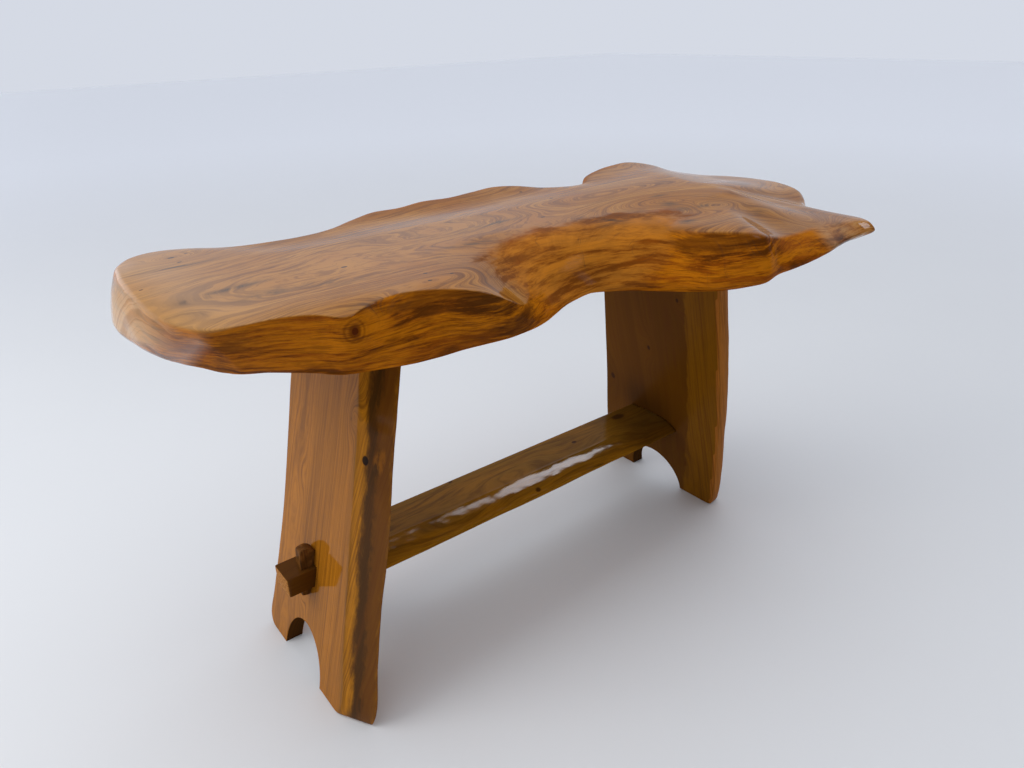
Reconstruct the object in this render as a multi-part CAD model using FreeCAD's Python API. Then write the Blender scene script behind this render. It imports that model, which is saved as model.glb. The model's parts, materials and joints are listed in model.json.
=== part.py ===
import FreeCAD, Part
import math
import os

# Rustic low table: a live-edge slab on two splayed board legs, tied by a wedged through-tenon rail.
# Millimetres. +X runs from the left leg to the right leg, +Y to the back, +Z up.
# The model is drawn about the middle of the legs on the floor. At the end it is moved so that its
# origin is at the middle of the whole table's footprint, on the floor.

os.makedirs("parts", exist_ok=True)

# Overall sizes
underside_height = 428.0
slab_thickness = 72.0
slab_length = 920.0
slab_width = 410.0
slab_shift_x = 28.0
slab_shift_y = -40.0

# Slab shape
under_lip_height = 12.0
under_lip_inset = 28.0
flank_bulge = 4.0
flat_top_share = 0.5
ridge_flat_share = 0.18
# The two ends of the line down the slab's middle, as shares of its length and of its width
spine_left_share = (-0.335, 0.122)
spine_right_share = (0.296, 0.020)

# Legs
leg_foot_span = 677.6
leg_splay_deg = 14.0
leg_width = 200.0
leg_thickness = 22.0
left_arch_width = 98.0
right_arch_width = 106.0
arch_height = 58.0
left_arch_y = 2.0
right_arch_y = 15.0

# Stub tenons on the legs, glued into blind mortises in the slab
stub_thickness = 12.0
stub_width = 42.0
stub_height = 30.0
stub_spacing = 92.0
left_stubs_y = 6.0
right_stubs_y = -48.0
stub_clearance = 0.25
stub_end_gap = 1.0

# Rail between the legs, with a through tenon at each end
rail_top_height = 139.0
rail_thickness = 39.0
rail_width = 93.0
rail_y = 0.0
rail_tenon_width = 37.0
rail_tenon_height = 25.0
rail_tenon_y = 9.0
rail_tenon_stand_out = 33.7
rail_clearance = 0.3

# Wedges that lock the tenons outside the legs
wedge_width = 14.0
wedge_shift_y = -4.0
wedge_length = 60.0
wedge_head_thickness = 19.0
wedge_tip_thickness = 10.0
wedge_drop = 14.0
wedge_head_crown = 4.0
wedge_clearance = 0.3
wedge_slot_relief = 3.0

# How far every cutting tool runs past the faces that it cuts
overrun = 6.0

# Slab edge, anticlockwise seen from above, starting at the left end's back corner. Each row is
#   place along the length, place across the width, height of the crest,
#   how far the underside edge stands out past the crest, how far in the rim's inner foot lies,
#   height of the rim's inner foot.
# Places are shares of the slab's length and width from its middle, heights are shares of its
# thickness from the underside, and the two reaches are shares of the width.
left_end_shares = [
    (-0.471, 0.434, 0.94, 0.036, 0.06, 0.99),
    (-0.484, 0.322, 0.96, 0.038, 0.06, 0.99),
    (-0.489, 0.195, 0.97, 0.012, 0.06, 1.00),
    (-0.491, 0.061, 0.97, -0.020, 0.06, 1.00),
    (-0.488, -0.054, 0.96, -0.058, 0.06, 1.00),
    (-0.478, -0.141, 0.94, -0.080, 0.05, 0.99),
    (-0.463, -0.195, 0.94, -0.090, 0.05, 0.99),
]
front_left_shares = [
    (-0.436, -0.222, 0.96, -0.080, 0.05, 0.99),
    (-0.402, -0.237, 0.97, -0.045, 0.05, 1.00),
    (-0.374, -0.266, 0.96, -0.025, 0.05, 1.00),
    (-0.353, -0.300, 0.92, -0.015, 0.05, 0.99),
    (-0.326, -0.283, 0.96, 0.025, 0.05, 1.00),
    (-0.291, -0.276, 0.99, 0.055, 0.05, 1.00),
    (-0.257, -0.293, 0.97, 0.045, 0.05, 1.00),
    (-0.226, -0.332, 0.93, 0.010, 0.06, 0.99),
    (-0.204, -0.351, 0.85, 0.000, 0.09, 0.98),
    (-0.180, -0.354, 0.67, 0.005, 0.14, 0.95),
    (-0.152, -0.341, 0.42, 0.010, 0.19, 0.90),
]
front_scoop_shares = [
    (-0.124, -0.275, 0.50, 0.065, 0.16, 0.93),
    (-0.098, -0.205, 0.61, 0.100, 0.11, 0.96),
    (-0.061, -0.190, 0.68, 0.075, 0.07, 0.98),
    (-0.009, -0.195, 0.75, 0.050, 0.06, 0.98),
    (0.037, -0.239, 0.81, 0.060, 0.07, 0.99),
    (0.074, -0.293, 0.88, 0.085, 0.06, 0.99),
]
front_right_shares = [
    (0.102, -0.366, 0.94, 0.075, 0.05, 0.99),
    (0.135, -0.429, 0.94, 0.060, 0.05, 0.99),
    (0.163, -0.461, 0.88, 0.045, 0.05, 0.98),
    (0.207, -0.434, 0.72, 0.050, 0.14, 0.96),
    (0.248, -0.410, 0.60, 0.070, 0.19, 0.94),
    (0.296, -0.395, 0.54, 0.080, 0.12, 0.87),
    (0.345, -0.380, 0.50, 0.080, 0.08, 0.71),
]
horn_shares = [
    (0.396, -0.371, 0.45, 0.060, 0.08, 0.58),
    (0.443, -0.380, 0.40, 0.050, 0.10, 0.52),
    (0.478, -0.402, 0.35, 0.025, 0.15, 0.51),
    (0.484, -0.372, 0.36, 0.020, 0.15, 0.52),
    (0.463, -0.303, 0.42, 0.010, 0.09, 0.55),
    (0.443, -0.232, 0.49, 0.000, 0.04, 0.57),
]
paddle_shares = [
    (0.452, -0.180, 0.54, 0.010, 0.08, 0.62),
    (0.477, -0.142, 0.60, 0.015, 0.09, 0.68),
    (0.494, -0.098, 0.66, 0.020, 0.10, 0.72),
    (0.504, -0.015, 0.72, 0.020, 0.12, 0.76),
    (0.501, 0.098, 0.74, 0.020, 0.12, 0.78),
    (0.478, 0.180, 0.77, 0.020, 0.12, 0.81),
    (0.437, 0.268, 0.81, 0.020, 0.10, 0.87),
    (0.410, 0.354, 0.88, 0.020, 0.08, 0.92),
]
back_lobe_shares = [
    (0.398, 0.439, 0.98, 0.020, 0.08, 0.97),
    (0.370, 0.488, 1.05, 0.020, 0.09, 0.99),
    (0.323, 0.480, 1.06, 0.020, 0.10, 0.98),
    (0.276, 0.454, 1.05, 0.010, 0.10, 0.98),
    (0.234, 0.415, 1.01, -0.020, 0.08, 0.97),
    (0.204, 0.361, 0.95, -0.020, 0.06, 0.98),
]
back_shares = [
    (0.167, 0.361, 0.96, 0.010, 0.06, 0.98),
    (0.133, 0.390, 0.99, 0.020, 0.07, 0.97),
    (0.096, 0.422, 1.07, 0.020, 0.09, 0.97),
    (0.057, 0.439, 1.11, 0.020, 0.10, 0.97),
    (0.013, 0.424, 1.11, 0.020, 0.10, 0.96),
    (-0.030, 0.412, 1.10, 0.020, 0.10, 0.96),
    (-0.074, 0.424, 1.10, 0.020, 0.10, 0.96),
    (-0.113, 0.417, 1.07, 0.020, 0.09, 0.96),
    (-0.152, 0.420, 1.07, 0.020, 0.09, 0.96),
    (-0.189, 0.395, 1.04, 0.020, 0.08, 0.97),
    (-0.228, 0.359, 1.01, 0.020, 0.08, 0.98),
    (-0.272, 0.344, 1.00, 0.020, 0.07, 0.98),
    (-0.317, 0.359, 0.99, 0.020, 0.07, 0.98),
    (-0.362, 0.398, 0.97, 0.020, 0.06, 0.99),
    (-0.398, 0.454, 0.97, 0.020, 0.06, 0.99),
    (-0.435, 0.480, 0.97, 0.020, 0.06, 0.99),
    (-0.460, 0.463, 0.96, 0.024, 0.06, 0.99),
]

# Leg edges, each row a height as a share of the underside's height and a place across as a
# share of the leg's width. They run a little past the floor and the underside, where the board is
# cut level. A front edge leans out on one face where the bark was left on.
left_back_shares = [(-0.02, 0.455), (0.0, 0.480), (0.024, 0.508), (0.11, 0.498), (0.24, 0.482),
                    (0.38, 0.472), (0.50, 0.482), (0.64, 0.505), (0.80, 0.530), (1.0, 0.470),
                    (1.02, 0.462)]
left_front_outer_shares = [(-0.02, -0.460), (0.0, -0.480), (0.024, -0.500), (0.19, -0.460),
                           (0.36, -0.420), (0.56, -0.375), (0.75, -0.335), (0.90, -0.285),
                           (1.0, -0.255), (1.02, -0.250)]
left_front_inner_shares = [(-0.02, -0.660), (0.0, -0.680), (0.024, -0.700), (0.19, -0.660),
                           (0.32, -0.625), (0.52, -0.605), (0.67, -0.560), (0.84, -0.520),
                           (1.0, -0.490), (1.02, -0.485)]
right_back_shares = [(-0.02, 0.580), (0.0, 0.600), (0.024, 0.620), (0.20, 0.575), (0.45, 0.470),
                     (0.60, 0.415), (0.79, 0.345), (1.0, 0.280), (1.02, 0.274)]
right_front_inner_shares = [(-0.02, -0.485), (0.0, -0.505), (0.024, -0.525), (0.15, -0.575),
                            (0.31, -0.635), (0.46, -0.680), (0.66, -0.715), (1.0, -0.775),
                            (1.02, -0.779)]
right_front_outer_shares = [(-0.02, -0.465), (0.0, -0.485), (0.024, -0.500), (0.15, -0.555),
                            (0.31, -0.610), (0.46, -0.660), (0.66, -0.705), (1.0, -0.750),
                            (1.02, -0.753)]

# Rail section, each row a place across as a share of the rail's width from its middle and a
# height as a share of its thickness from its underside. The front edge was left waney.
rail_section_shares = [(0.50, 0.0), (0.50, 1.0), (-0.20, 1.0), (-0.35, 0.91), (-0.47, 0.74),
                       (-0.50, 0.63), (-0.45, 0.48), (-0.25, 0.14), (-0.06, 0.0)]

slope = math.tan(math.radians(leg_splay_deg))
splay_cos = math.cos(math.radians(leg_splay_deg))
splay_sin = math.sin(math.radians(leg_splay_deg))
foot_half_span = leg_foot_span / 2
leg_run = leg_thickness / splay_cos
rail_tenon_top = rail_top_height
rail_tenon_bottom = rail_tenon_top - rail_tenon_height
LEFT = -1
RIGHT = 1


def outer_x(side, height):
    """X of a leg's outer face at a height above the floor."""
    return side * (foot_half_span - height * slope)


def inner_x(side, height):
    """X of a leg's inner face at a height above the floor."""
    return side * (foot_half_span - leg_run - height * slope)


def ring_parameters(points):
    """Shares of the way round a closed ring at its points, by the length passed."""
    passed = [0.0]
    for start, end in zip(points, points[1:] + points[:1]):
        passed.append(passed[-1] + start.distanceToPoint(end))
    return [length / passed[-1] for length in passed]


def closed_curve(points, parameters):
    """A smooth closed wire through the points, which it meets at the given parameters."""
    curve = Part.BSplineCurve()
    curve.interpolate(Points=points, PeriodicFlag=True, Parameters=parameters)
    return Part.Wire([curve.toShape()])


def open_curve(points):
    """A smooth open edge through the points."""
    curve = Part.BSplineCurve()
    curve.interpolate(Points=points)
    return curve.toShape()


def straight_wire(points):
    """A closed wire of straight edges."""
    return Part.makePolygon(points + points[:1])


def slab_middle():
    """The middle of the slab's length and width, on its underside."""
    return FreeCAD.Vector(slab_shift_x, slab_shift_y, underside_height)


def spine_point(place):
    """The nearest point to a place on the line down the slab's middle, seen from above."""
    start, end = [FreeCAD.Vector(along * slab_length, across * slab_width, 0)
                  for along, across in (spine_left_share, spine_right_share)]
    run = end - start
    share = (place - start).dot(run) / run.dot(run)
    return start + run * min(max(share, 0.0), 1.0)


def slab_rings():
    """The slab's closed level lines, from the underside's edge up to the flat of the top."""
    main_rows = left_end_shares + front_left_shares + front_scoop_shares + front_right_shares
    low_end_rows = horn_shares + paddle_shares
    back_rows = back_lobe_shares + back_shares
    flat_shares = ([flat_top_share] * len(main_rows) + [ridge_flat_share] * len(low_end_rows)
                   + [flat_top_share] * len(back_rows))
    up = FreeCAD.Vector(0, 0, 1)
    rings = [[], [], [], [], [], []]
    for row, flat_share in zip(main_rows + low_end_rows + back_rows, flat_shares):
        along, across, crest_share, reach_share, rim_share, foot_share = row
        plan = FreeCAD.Vector(along * slab_length, across * slab_width, 0)
        spine = spine_point(plan)
        out = (plan - spine).normalize()
        reach = reach_share * slab_width
        crest_height = crest_share * slab_thickness
        flank_height = (under_lip_height + crest_height) / 2
        rim_foot = plan - out * (rim_share * slab_width)
        rings[0].append(plan + out * (reach - under_lip_inset))
        rings[1].append(plan + out * reach + up * under_lip_height)
        rings[2].append(plan + out * (reach / 2 + flank_bulge) + up * flank_height)
        rings[3].append(plan + up * crest_height)
        rings[4].append(rim_foot + up * (foot_share * slab_thickness))
        rings[5].append(spine + (rim_foot - spine) * flat_share + up * slab_thickness)
    middle = slab_middle()
    return [[point + middle for point in ring] for ring in rings]


def leg_stub(side, middle_y, low, high, growth):
    """A stub tenon of a leg, in line with the board, or the mortise that it fills."""
    centre = side * (foot_half_span - leg_run / 2 - low * slope)
    half_run = (stub_thickness / splay_cos) / 2 + growth
    half_width = stub_width / 2 + growth
    base = straight_wire([
        FreeCAD.Vector(centre - half_run, middle_y - half_width, low),
        FreeCAD.Vector(centre + half_run, middle_y - half_width, low),
        FreeCAD.Vector(centre + half_run, middle_y + half_width, low),
        FreeCAD.Vector(centre - half_run, middle_y + half_width, low),
    ])
    rise = high - low
    return Part.Face(base).extrude(FreeCAD.Vector(-side * rise * slope, 0, rise))


def stub_places():
    """Side and place across of every stub tenon."""
    places = []
    for side, middle in ((LEFT, left_stubs_y), (RIGHT, right_stubs_y)):
        for step in (-1, 1):
            places.append((side, middle + step * stub_spacing / 2))
    return places


def tabletop_slab():
    """The live-edge slab with its four blind mortises."""
    rings = slab_rings()
    parameters = ring_parameters(rings[3])
    slab = Part.makeLoft([closed_curve(ring, parameters) for ring in rings], True, True)
    for side, middle_y in stub_places():
        low = underside_height - overrun
        high = underside_height + stub_height + stub_end_gap
        slab = slab.cut(leg_stub(side, middle_y, low, high, stub_clearance))
    return slab


def leg_face(side, face_x, back_shares_of_leg, front_shares_of_leg):
    """The closed outline of one face of a leg board, in the board's slanting plane."""
    def place(row):
        height = row[0] * underside_height
        return FreeCAD.Vector(face_x(side, height), row[1] * leg_width, height)
    back = [place(row) for row in back_shares_of_leg]
    front = [place(row) for row in reversed(front_shares_of_leg)]
    return Part.Wire([
        open_curve(back),
        Part.makeLine(back[-1], front[0]),
        open_curve(front),
        Part.makeLine(front[-1], back[0]),
    ])


def foot_arch(arch_width, middle_y):
    """The half-round cut between a leg's two feet."""
    centre = FreeCAD.Vector(-(foot_half_span + overrun), middle_y, 0)
    curve = Part.Ellipse(centre, arch_height, arch_width / 2)
    ring = Part.Wire([curve.toShape()])
    # The ellipse is drawn flat with its long axis along X, so it is turned upright.
    ring.rotate(centre, FreeCAD.Vector(0, 1, 0), 90)
    return Part.Face(ring).extrude(FreeCAD.Vector(2 * (foot_half_span + overrun), 0, 0))


def level_space():
    """The space between the floor and the slab's underside, wider than both legs."""
    half_length = foot_half_span + overrun
    half_width = leg_width + overrun
    corner = FreeCAD.Vector(-half_length, -half_width, 0)
    return Part.makeBox(2 * half_length, 2 * half_width, underside_height, corner)


def tenon_block(growth, half_length):
    """The rail's tenons as one long bar, or the mortises that they pass through."""
    half_width = rail_tenon_width / 2 + growth
    corner = FreeCAD.Vector(-half_length, rail_tenon_y - half_width, rail_tenon_bottom - growth)
    return Part.makeBox(2 * half_length, 2 * half_width, rail_tenon_height + 2 * growth, corner)


def board_leg(side):
    """One leg board with its foot arch, its mortise for the rail and its two stub tenons."""
    if side == LEFT:
        faces = (leg_face(side, outer_x, left_back_shares, left_front_outer_shares),
                 leg_face(side, inner_x, left_back_shares, left_front_inner_shares))
        arch = foot_arch(left_arch_width, left_arch_y)
    else:
        faces = (leg_face(side, outer_x, right_back_shares, right_front_outer_shares),
                 leg_face(side, inner_x, right_back_shares, right_front_inner_shares))
        arch = foot_arch(right_arch_width, right_arch_y)
    leg = Part.makeLoft(list(faces), True, True).common(level_space())
    leg = leg.cut(arch)
    leg = leg.cut(tenon_block(rail_clearance, foot_half_span + overrun))
    for stub_side, middle_y in stub_places():
        if stub_side == side:
            top = underside_height + stub_height
            leg = leg.fuse(leg_stub(side, middle_y, underside_height, top, 0))
    return leg.removeSplitter()


def wedge_axes(side):
    """The direction up a leg's outer face, and the one straight out of it."""
    along = FreeCAD.Vector(-side * splay_sin, 0, splay_cos)
    out = FreeCAD.Vector(side * splay_cos, 0, splay_sin)
    return along, out


def wedge_tip(side):
    """The foot of a wedge on a leg's outer face."""
    height = rail_tenon_bottom - wedge_drop
    return FreeCAD.Vector(outer_x(side, height), rail_tenon_y + wedge_shift_y, height)


def wedge_slot(side):
    """The tapered slot through a tenon, a little longer inwards so that the wedge can draw up."""
    along, out = wedge_axes(side)
    tip = wedge_tip(side)
    taper = (wedge_head_thickness - wedge_tip_thickness) / wedge_length
    low = -overrun
    high = wedge_length + overrun
    inside = -wedge_slot_relief
    tip_outside = wedge_tip_thickness + 2 * wedge_clearance
    half_width = FreeCAD.Vector(0, wedge_width / 2 + wedge_clearance, 0)
    outline = straight_wire([
        tip + along * low + out * inside - half_width,
        tip + along * low + out * (tip_outside + taper * low) - half_width,
        tip + along * high + out * (tip_outside + taper * high) - half_width,
        tip + along * high + out * inside - half_width,
    ])
    return Part.Face(outline).extrude(half_width * 2)


def wedge(side):
    """A tapered key with a crowned head, which stands against the leg's outer face."""
    along, out = wedge_axes(side)
    tip = wedge_tip(side)
    near = wedge_clearance
    half_width = FreeCAD.Vector(0, wedge_width / 2, 0)
    tip_in = tip + out * near - half_width
    tip_out = tip + out * (near + wedge_tip_thickness) - half_width
    head_in = tip + along * wedge_length + out * near - half_width
    head_out = tip + along * wedge_length + out * (near + wedge_head_thickness) - half_width
    crown = (head_in + head_out) / 2 + along * wedge_head_crown
    outline = Part.Wire([
        Part.makeLine(tip_in, tip_out),
        Part.makeLine(tip_out, head_out),
        Part.Arc(head_out, crown, head_in).toShape(),
        Part.makeLine(head_in, tip_in),
    ])
    return Part.Face(outline).extrude(half_width * 2)


def rail_end(side):
    """The rail's section in the slanting plane of a leg's inner face."""
    points = []
    for across, up_share in rail_section_shares:
        height = rail_top_height - rail_thickness + up_share * rail_thickness
        points.append(FreeCAD.Vector(inner_x(side, height), rail_y + across * rail_width, height))
    return straight_wire(points)


def stretcher_rail():
    """The rail between the legs with its two slotted through tenons."""
    body = Part.makeLoft([rail_end(LEFT), rail_end(RIGHT)], True, True)
    tenon_middle = rail_tenon_bottom + rail_tenon_height / 2
    half_length = outer_x(RIGHT, tenon_middle) + rail_tenon_stand_out
    rail = body.fuse(tenon_block(0, half_length))
    for side in (LEFT, RIGHT):
        rail = rail.cut(wedge_slot(side))
    return rail.removeSplitter()


pieces = {
    "tabletop_slab": tabletop_slab(),
    "left_leg": board_leg(LEFT),
    "right_leg": board_leg(RIGHT),
    "stretcher_rail": stretcher_rail(),
    "left_wedge": wedge(LEFT),
    "right_wedge": wedge(RIGHT),
}

footprint = pieces["tabletop_slab"].BoundBox.Center
for name, shape in pieces.items():
    shape.translate(FreeCAD.Vector(-footprint.x, -footprint.y, 0))
    shape.exportStep("parts/" + name + ".step")
    box = shape.BoundBox
    print(name, "solids", len(shape.Solids), "valid", shape.isValid(),
          "volume cm3", round(shape.Volume / 1000, 1),
          "x", round(box.XMin, 1), round(box.XMax, 1),
          "y", round(box.YMin, 1), round(box.YMax, 1),
          "z", round(box.ZMin, 1), round(box.ZMax, 1))
print("moved by", round(-footprint.x, 2), round(-footprint.y, 2))
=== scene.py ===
import json
import math

import bpy
import numpy as np
from mathutils import Matrix, Vector, geometry, noise


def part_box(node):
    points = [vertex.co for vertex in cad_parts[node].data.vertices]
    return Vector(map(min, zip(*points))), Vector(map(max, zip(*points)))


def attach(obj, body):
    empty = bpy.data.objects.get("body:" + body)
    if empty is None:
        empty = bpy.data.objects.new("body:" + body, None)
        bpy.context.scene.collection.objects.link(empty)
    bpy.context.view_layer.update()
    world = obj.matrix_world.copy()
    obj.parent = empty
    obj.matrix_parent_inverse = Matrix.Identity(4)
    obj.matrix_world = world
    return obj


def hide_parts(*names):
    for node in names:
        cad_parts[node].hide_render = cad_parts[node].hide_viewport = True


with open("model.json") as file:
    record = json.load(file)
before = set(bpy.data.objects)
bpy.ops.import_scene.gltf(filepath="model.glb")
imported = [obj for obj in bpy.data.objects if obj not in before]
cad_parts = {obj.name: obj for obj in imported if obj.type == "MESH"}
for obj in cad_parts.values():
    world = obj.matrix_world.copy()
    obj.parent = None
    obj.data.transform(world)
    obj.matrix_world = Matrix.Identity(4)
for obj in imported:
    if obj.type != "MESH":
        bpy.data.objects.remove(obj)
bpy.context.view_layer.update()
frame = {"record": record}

bl_info = {
    "name": "Live-edge trestle table",
    "version": (1, 0, 0),
    "blender": (4, 5, 0),
    "location": "View3D > Sidebar > Trestle table",
    "description": "Builds a low live-edge table with splayed board legs and a wedged rail",
    "category": "Object",
}

# Metres, in the frame of the solids: +X from the left leg to the right leg, +Y to the back, +Z up.
MM = 0.001
TINY = 1e-12

# Sizes taken from the solids
slab_low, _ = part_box("tabletop_slab")
left_leg_low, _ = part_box("left_leg")
_, right_leg_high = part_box("right_leg")
rail_low, rail_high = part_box("stretcher_rail")

underside = slab_low.z
top_flat = next(mount["pos_m"][2] for mount in frame["record"]["mounts"]
                if mount["name"] == "table_top")
slab_thickness = top_flat - underside
legs_middle = Vector(((left_leg_low.x + right_leg_high.x) / 2, (rail_low.y + rail_high.y) / 2, 0))
foot_half_span = (right_leg_high.x - left_leg_low.x) / 2
LEFT = -1
RIGHT = 1

# Slab
slab_length = 920 * MM
slab_width = 410 * MM
slab_size = np.array([slab_length, slab_width])
slab_middle = legs_middle + Vector((28 * MM, -40 * MM, underside))
under_lip_height = 12 * MM
under_lip_inset = 28 * MM
under_edge_run = 7 * MM
spine_left_share = (-0.335, 0.122)
spine_right_share = (0.296, 0.020)

# The slab's edge, anticlockwise seen from above, from the left end's back corner. Each row is the
# place along the length and across the width, the crest's height, how far the underside stands out
# past the crest, how far in the rim's inner foot lies, and that foot's height, all as shares.
left_end_shares = [
    (-0.471, 0.434, 0.94, 0.036, 0.06, 0.99),
    (-0.484, 0.322, 0.96, 0.038, 0.06, 0.99),
    (-0.489, 0.195, 0.97, 0.012, 0.06, 1.00),
    (-0.491, 0.061, 0.97, -0.020, 0.06, 1.00),
    (-0.488, -0.054, 0.96, -0.058, 0.06, 1.00),
    (-0.478, -0.141, 0.94, -0.080, 0.05, 0.99),
    (-0.463, -0.195, 0.94, -0.090, 0.05, 0.99),
]
front_left_shares = [
    (-0.436, -0.222, 0.96, -0.080, 0.05, 0.99),
    (-0.402, -0.237, 0.97, -0.045, 0.05, 1.00),
    (-0.374, -0.266, 0.96, -0.025, 0.05, 1.00),
    (-0.353, -0.300, 0.92, -0.015, 0.05, 0.99),
    (-0.326, -0.283, 0.96, 0.025, 0.05, 1.00),
    (-0.291, -0.276, 0.99, 0.055, 0.05, 1.00),
    (-0.257, -0.293, 0.97, 0.045, 0.05, 1.00),
    (-0.226, -0.332, 0.93, 0.010, 0.06, 0.99),
    (-0.204, -0.351, 0.85, 0.000, 0.09, 0.98),
    (-0.180, -0.354, 0.67, 0.005, 0.14, 0.95),
    (-0.152, -0.341, 0.42, 0.010, 0.19, 0.90),
]
front_scoop_shares = [
    (-0.124, -0.275, 0.50, 0.065, 0.16, 0.93),
    (-0.098, -0.205, 0.61, 0.100, 0.11, 0.96),
    (-0.061, -0.190, 0.68, 0.075, 0.07, 0.98),
    (-0.009, -0.195, 0.75, 0.050, 0.06, 0.98),
    (0.037, -0.239, 0.81, 0.060, 0.07, 0.99),
    (0.074, -0.293, 0.88, 0.085, 0.06, 0.99),
]
front_right_shares = [
    (0.102, -0.366, 0.94, 0.075, 0.05, 0.99),
    (0.135, -0.429, 0.94, 0.060, 0.05, 0.99),
    (0.163, -0.461, 0.88, 0.045, 0.05, 0.98),
    (0.207, -0.434, 0.72, 0.050, 0.14, 0.96),
    (0.248, -0.410, 0.60, 0.070, 0.19, 0.94),
    (0.296, -0.395, 0.54, 0.080, 0.12, 0.87),
    (0.345, -0.380, 0.50, 0.080, 0.08, 0.71),
]
horn_shares = [
    (0.396, -0.371, 0.45, 0.060, 0.08, 0.58),
    (0.443, -0.380, 0.40, 0.050, 0.10, 0.52),
    (0.478, -0.402, 0.35, 0.025, 0.15, 0.51),
    (0.484, -0.372, 0.36, 0.020, 0.15, 0.52),
    (0.463, -0.303, 0.42, 0.010, 0.09, 0.55),
    (0.443, -0.232, 0.49, 0.000, 0.04, 0.57),
]
paddle_shares = [
    (0.452, -0.180, 0.54, 0.010, 0.08, 0.62),
    (0.477, -0.142, 0.60, 0.015, 0.09, 0.68),
    (0.494, -0.098, 0.66, 0.020, 0.10, 0.72),
    (0.504, -0.015, 0.72, 0.020, 0.12, 0.76),
    (0.501, 0.098, 0.74, 0.020, 0.12, 0.78),
    (0.478, 0.180, 0.77, 0.020, 0.12, 0.81),
    (0.437, 0.268, 0.81, 0.020, 0.10, 0.87),
    (0.410, 0.354, 0.88, 0.020, 0.08, 0.92),
]
back_lobe_shares = [
    (0.398, 0.439, 0.98, 0.020, 0.08, 0.97),
    (0.370, 0.488, 1.05, 0.020, 0.09, 0.99),
    (0.323, 0.480, 1.06, 0.020, 0.10, 0.98),
    (0.276, 0.454, 1.05, 0.010, 0.10, 0.98),
    (0.234, 0.415, 1.01, -0.020, 0.08, 0.97),
    (0.204, 0.361, 0.95, -0.020, 0.06, 0.98),
]
back_shares = [
    (0.167, 0.361, 0.96, 0.010, 0.06, 0.98),
    (0.133, 0.390, 0.99, 0.020, 0.07, 0.97),
    (0.096, 0.422, 1.07, 0.020, 0.09, 0.97),
    (0.057, 0.439, 1.11, 0.020, 0.10, 0.97),
    (0.013, 0.424, 1.11, 0.020, 0.10, 0.96),
    (-0.030, 0.412, 1.10, 0.020, 0.10, 0.96),
    (-0.074, 0.424, 1.10, 0.020, 0.10, 0.96),
    (-0.113, 0.417, 1.07, 0.020, 0.09, 0.96),
    (-0.152, 0.420, 1.07, 0.020, 0.09, 0.96),
    (-0.189, 0.395, 1.04, 0.020, 0.08, 0.97),
    (-0.228, 0.359, 1.01, 0.020, 0.08, 0.98),
    (-0.272, 0.344, 1.00, 0.020, 0.07, 0.98),
    (-0.317, 0.359, 0.99, 0.020, 0.07, 0.98),
    (-0.362, 0.398, 0.97, 0.020, 0.06, 0.99),
    (-0.398, 0.454, 0.97, 0.020, 0.06, 0.99),
    (-0.435, 0.480, 0.97, 0.020, 0.06, 0.99),
    (-0.460, 0.463, 0.96, 0.030, 0.06, 0.99),
]
# Each stretch of the edge with how far the flat top reaches towards it, as a share; the crest's
# rounding and the flank's swelling there, in metres; and how far the flank's amber wood climbs over
# the crest, as a share.
edge_stretches = [
    (left_end_shares, 0.5, 5 * MM, 4 * MM, 0.0),
    (front_left_shares, 0.5, 1.5 * MM, 6 * MM, 0.0),
    (front_scoop_shares, 0.5, 24 * MM, -1 * MM, 1.0),
    (front_right_shares, 0.5, 5 * MM, 3 * MM, 0.10),
    (horn_shares, 0.18, 5 * MM, 2 * MM, 0.45),
    (paddle_shares, 0.18, 8 * MM, 3 * MM, 0.15),
    (back_lobe_shares, 0.5, 9 * MM, 4 * MM, 0.45),
    (back_shares, 0.5, 8 * MM, 4 * MM, 0.25),
]
slab_columns = 720
# Lumps of the natural edge and waves of the sanded top: share, waves per metre and seed.
slab_lumps = [(1, (15, 15, 42), 3.1), (0.35, (48, 48, 120), 7.7)]
top_waves = [(1, (5, 9, 0), 21.3)]
# Hollows of the edge that are worn round: place in plan and reach.
soft_hollows = [((-0.120, -0.125), 0.070), ((0.335, -0.180), 0.080)]
# The flat facet under the left end's front corner: its outward direction and its reach.
corner_facet_out = (-0.700, -0.374, -0.608)
corner_facet_reach = 35.6 * MM

# Legs
leg_splay_slope = math.tan(math.radians(14))
leg_splay_cos = math.cos(math.radians(14))
leg_splay_sin = math.sin(math.radians(14))
leg_thickness = 22 * MM
leg_run = leg_thickness / leg_splay_cos
leg_width = 200 * MM
arch_height = 58 * MM
stub_thickness = 12 * MM
stub_width = 42 * MM
stub_height = 30 * MM
stub_spacing = 92 * MM
stub_clearance = 0.25 * MM
# Lumps of the bark edges and waves of the faces, as for the slab.
leg_lumps = [(1, (20, 17, 60), 0), (0.4, (60, 55, 160), 0)]
leg_waves = (16, 5, 30)

# Leg edges, each row a height as a share of the underside's height and a place across as a share
# of the leg's width. A front edge leans out on one face where the bark was left on.
left_back_shares = [(0.0, 0.480), (0.024, 0.508), (0.11, 0.498), (0.24, 0.482), (0.38, 0.472),
                    (0.50, 0.482), (0.64, 0.505), (0.80, 0.530), (1.0, 0.470)]
left_front_outer_shares = [(0.0, -0.480), (0.024, -0.500), (0.19, -0.460), (0.36, -0.420),
                           (0.56, -0.375), (0.75, -0.335), (0.90, -0.285), (1.0, -0.255)]
left_front_inner_shares = [(0.0, -0.680), (0.024, -0.700), (0.19, -0.660), (0.32, -0.625),
                           (0.52, -0.605), (0.67, -0.560), (0.84, -0.520), (1.0, -0.490)]
right_back_shares = [(0.0, 0.600), (0.024, 0.620), (0.20, 0.575), (0.45, 0.470), (0.60, 0.415),
                     (0.79, 0.345), (1.0, 0.280)]
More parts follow.
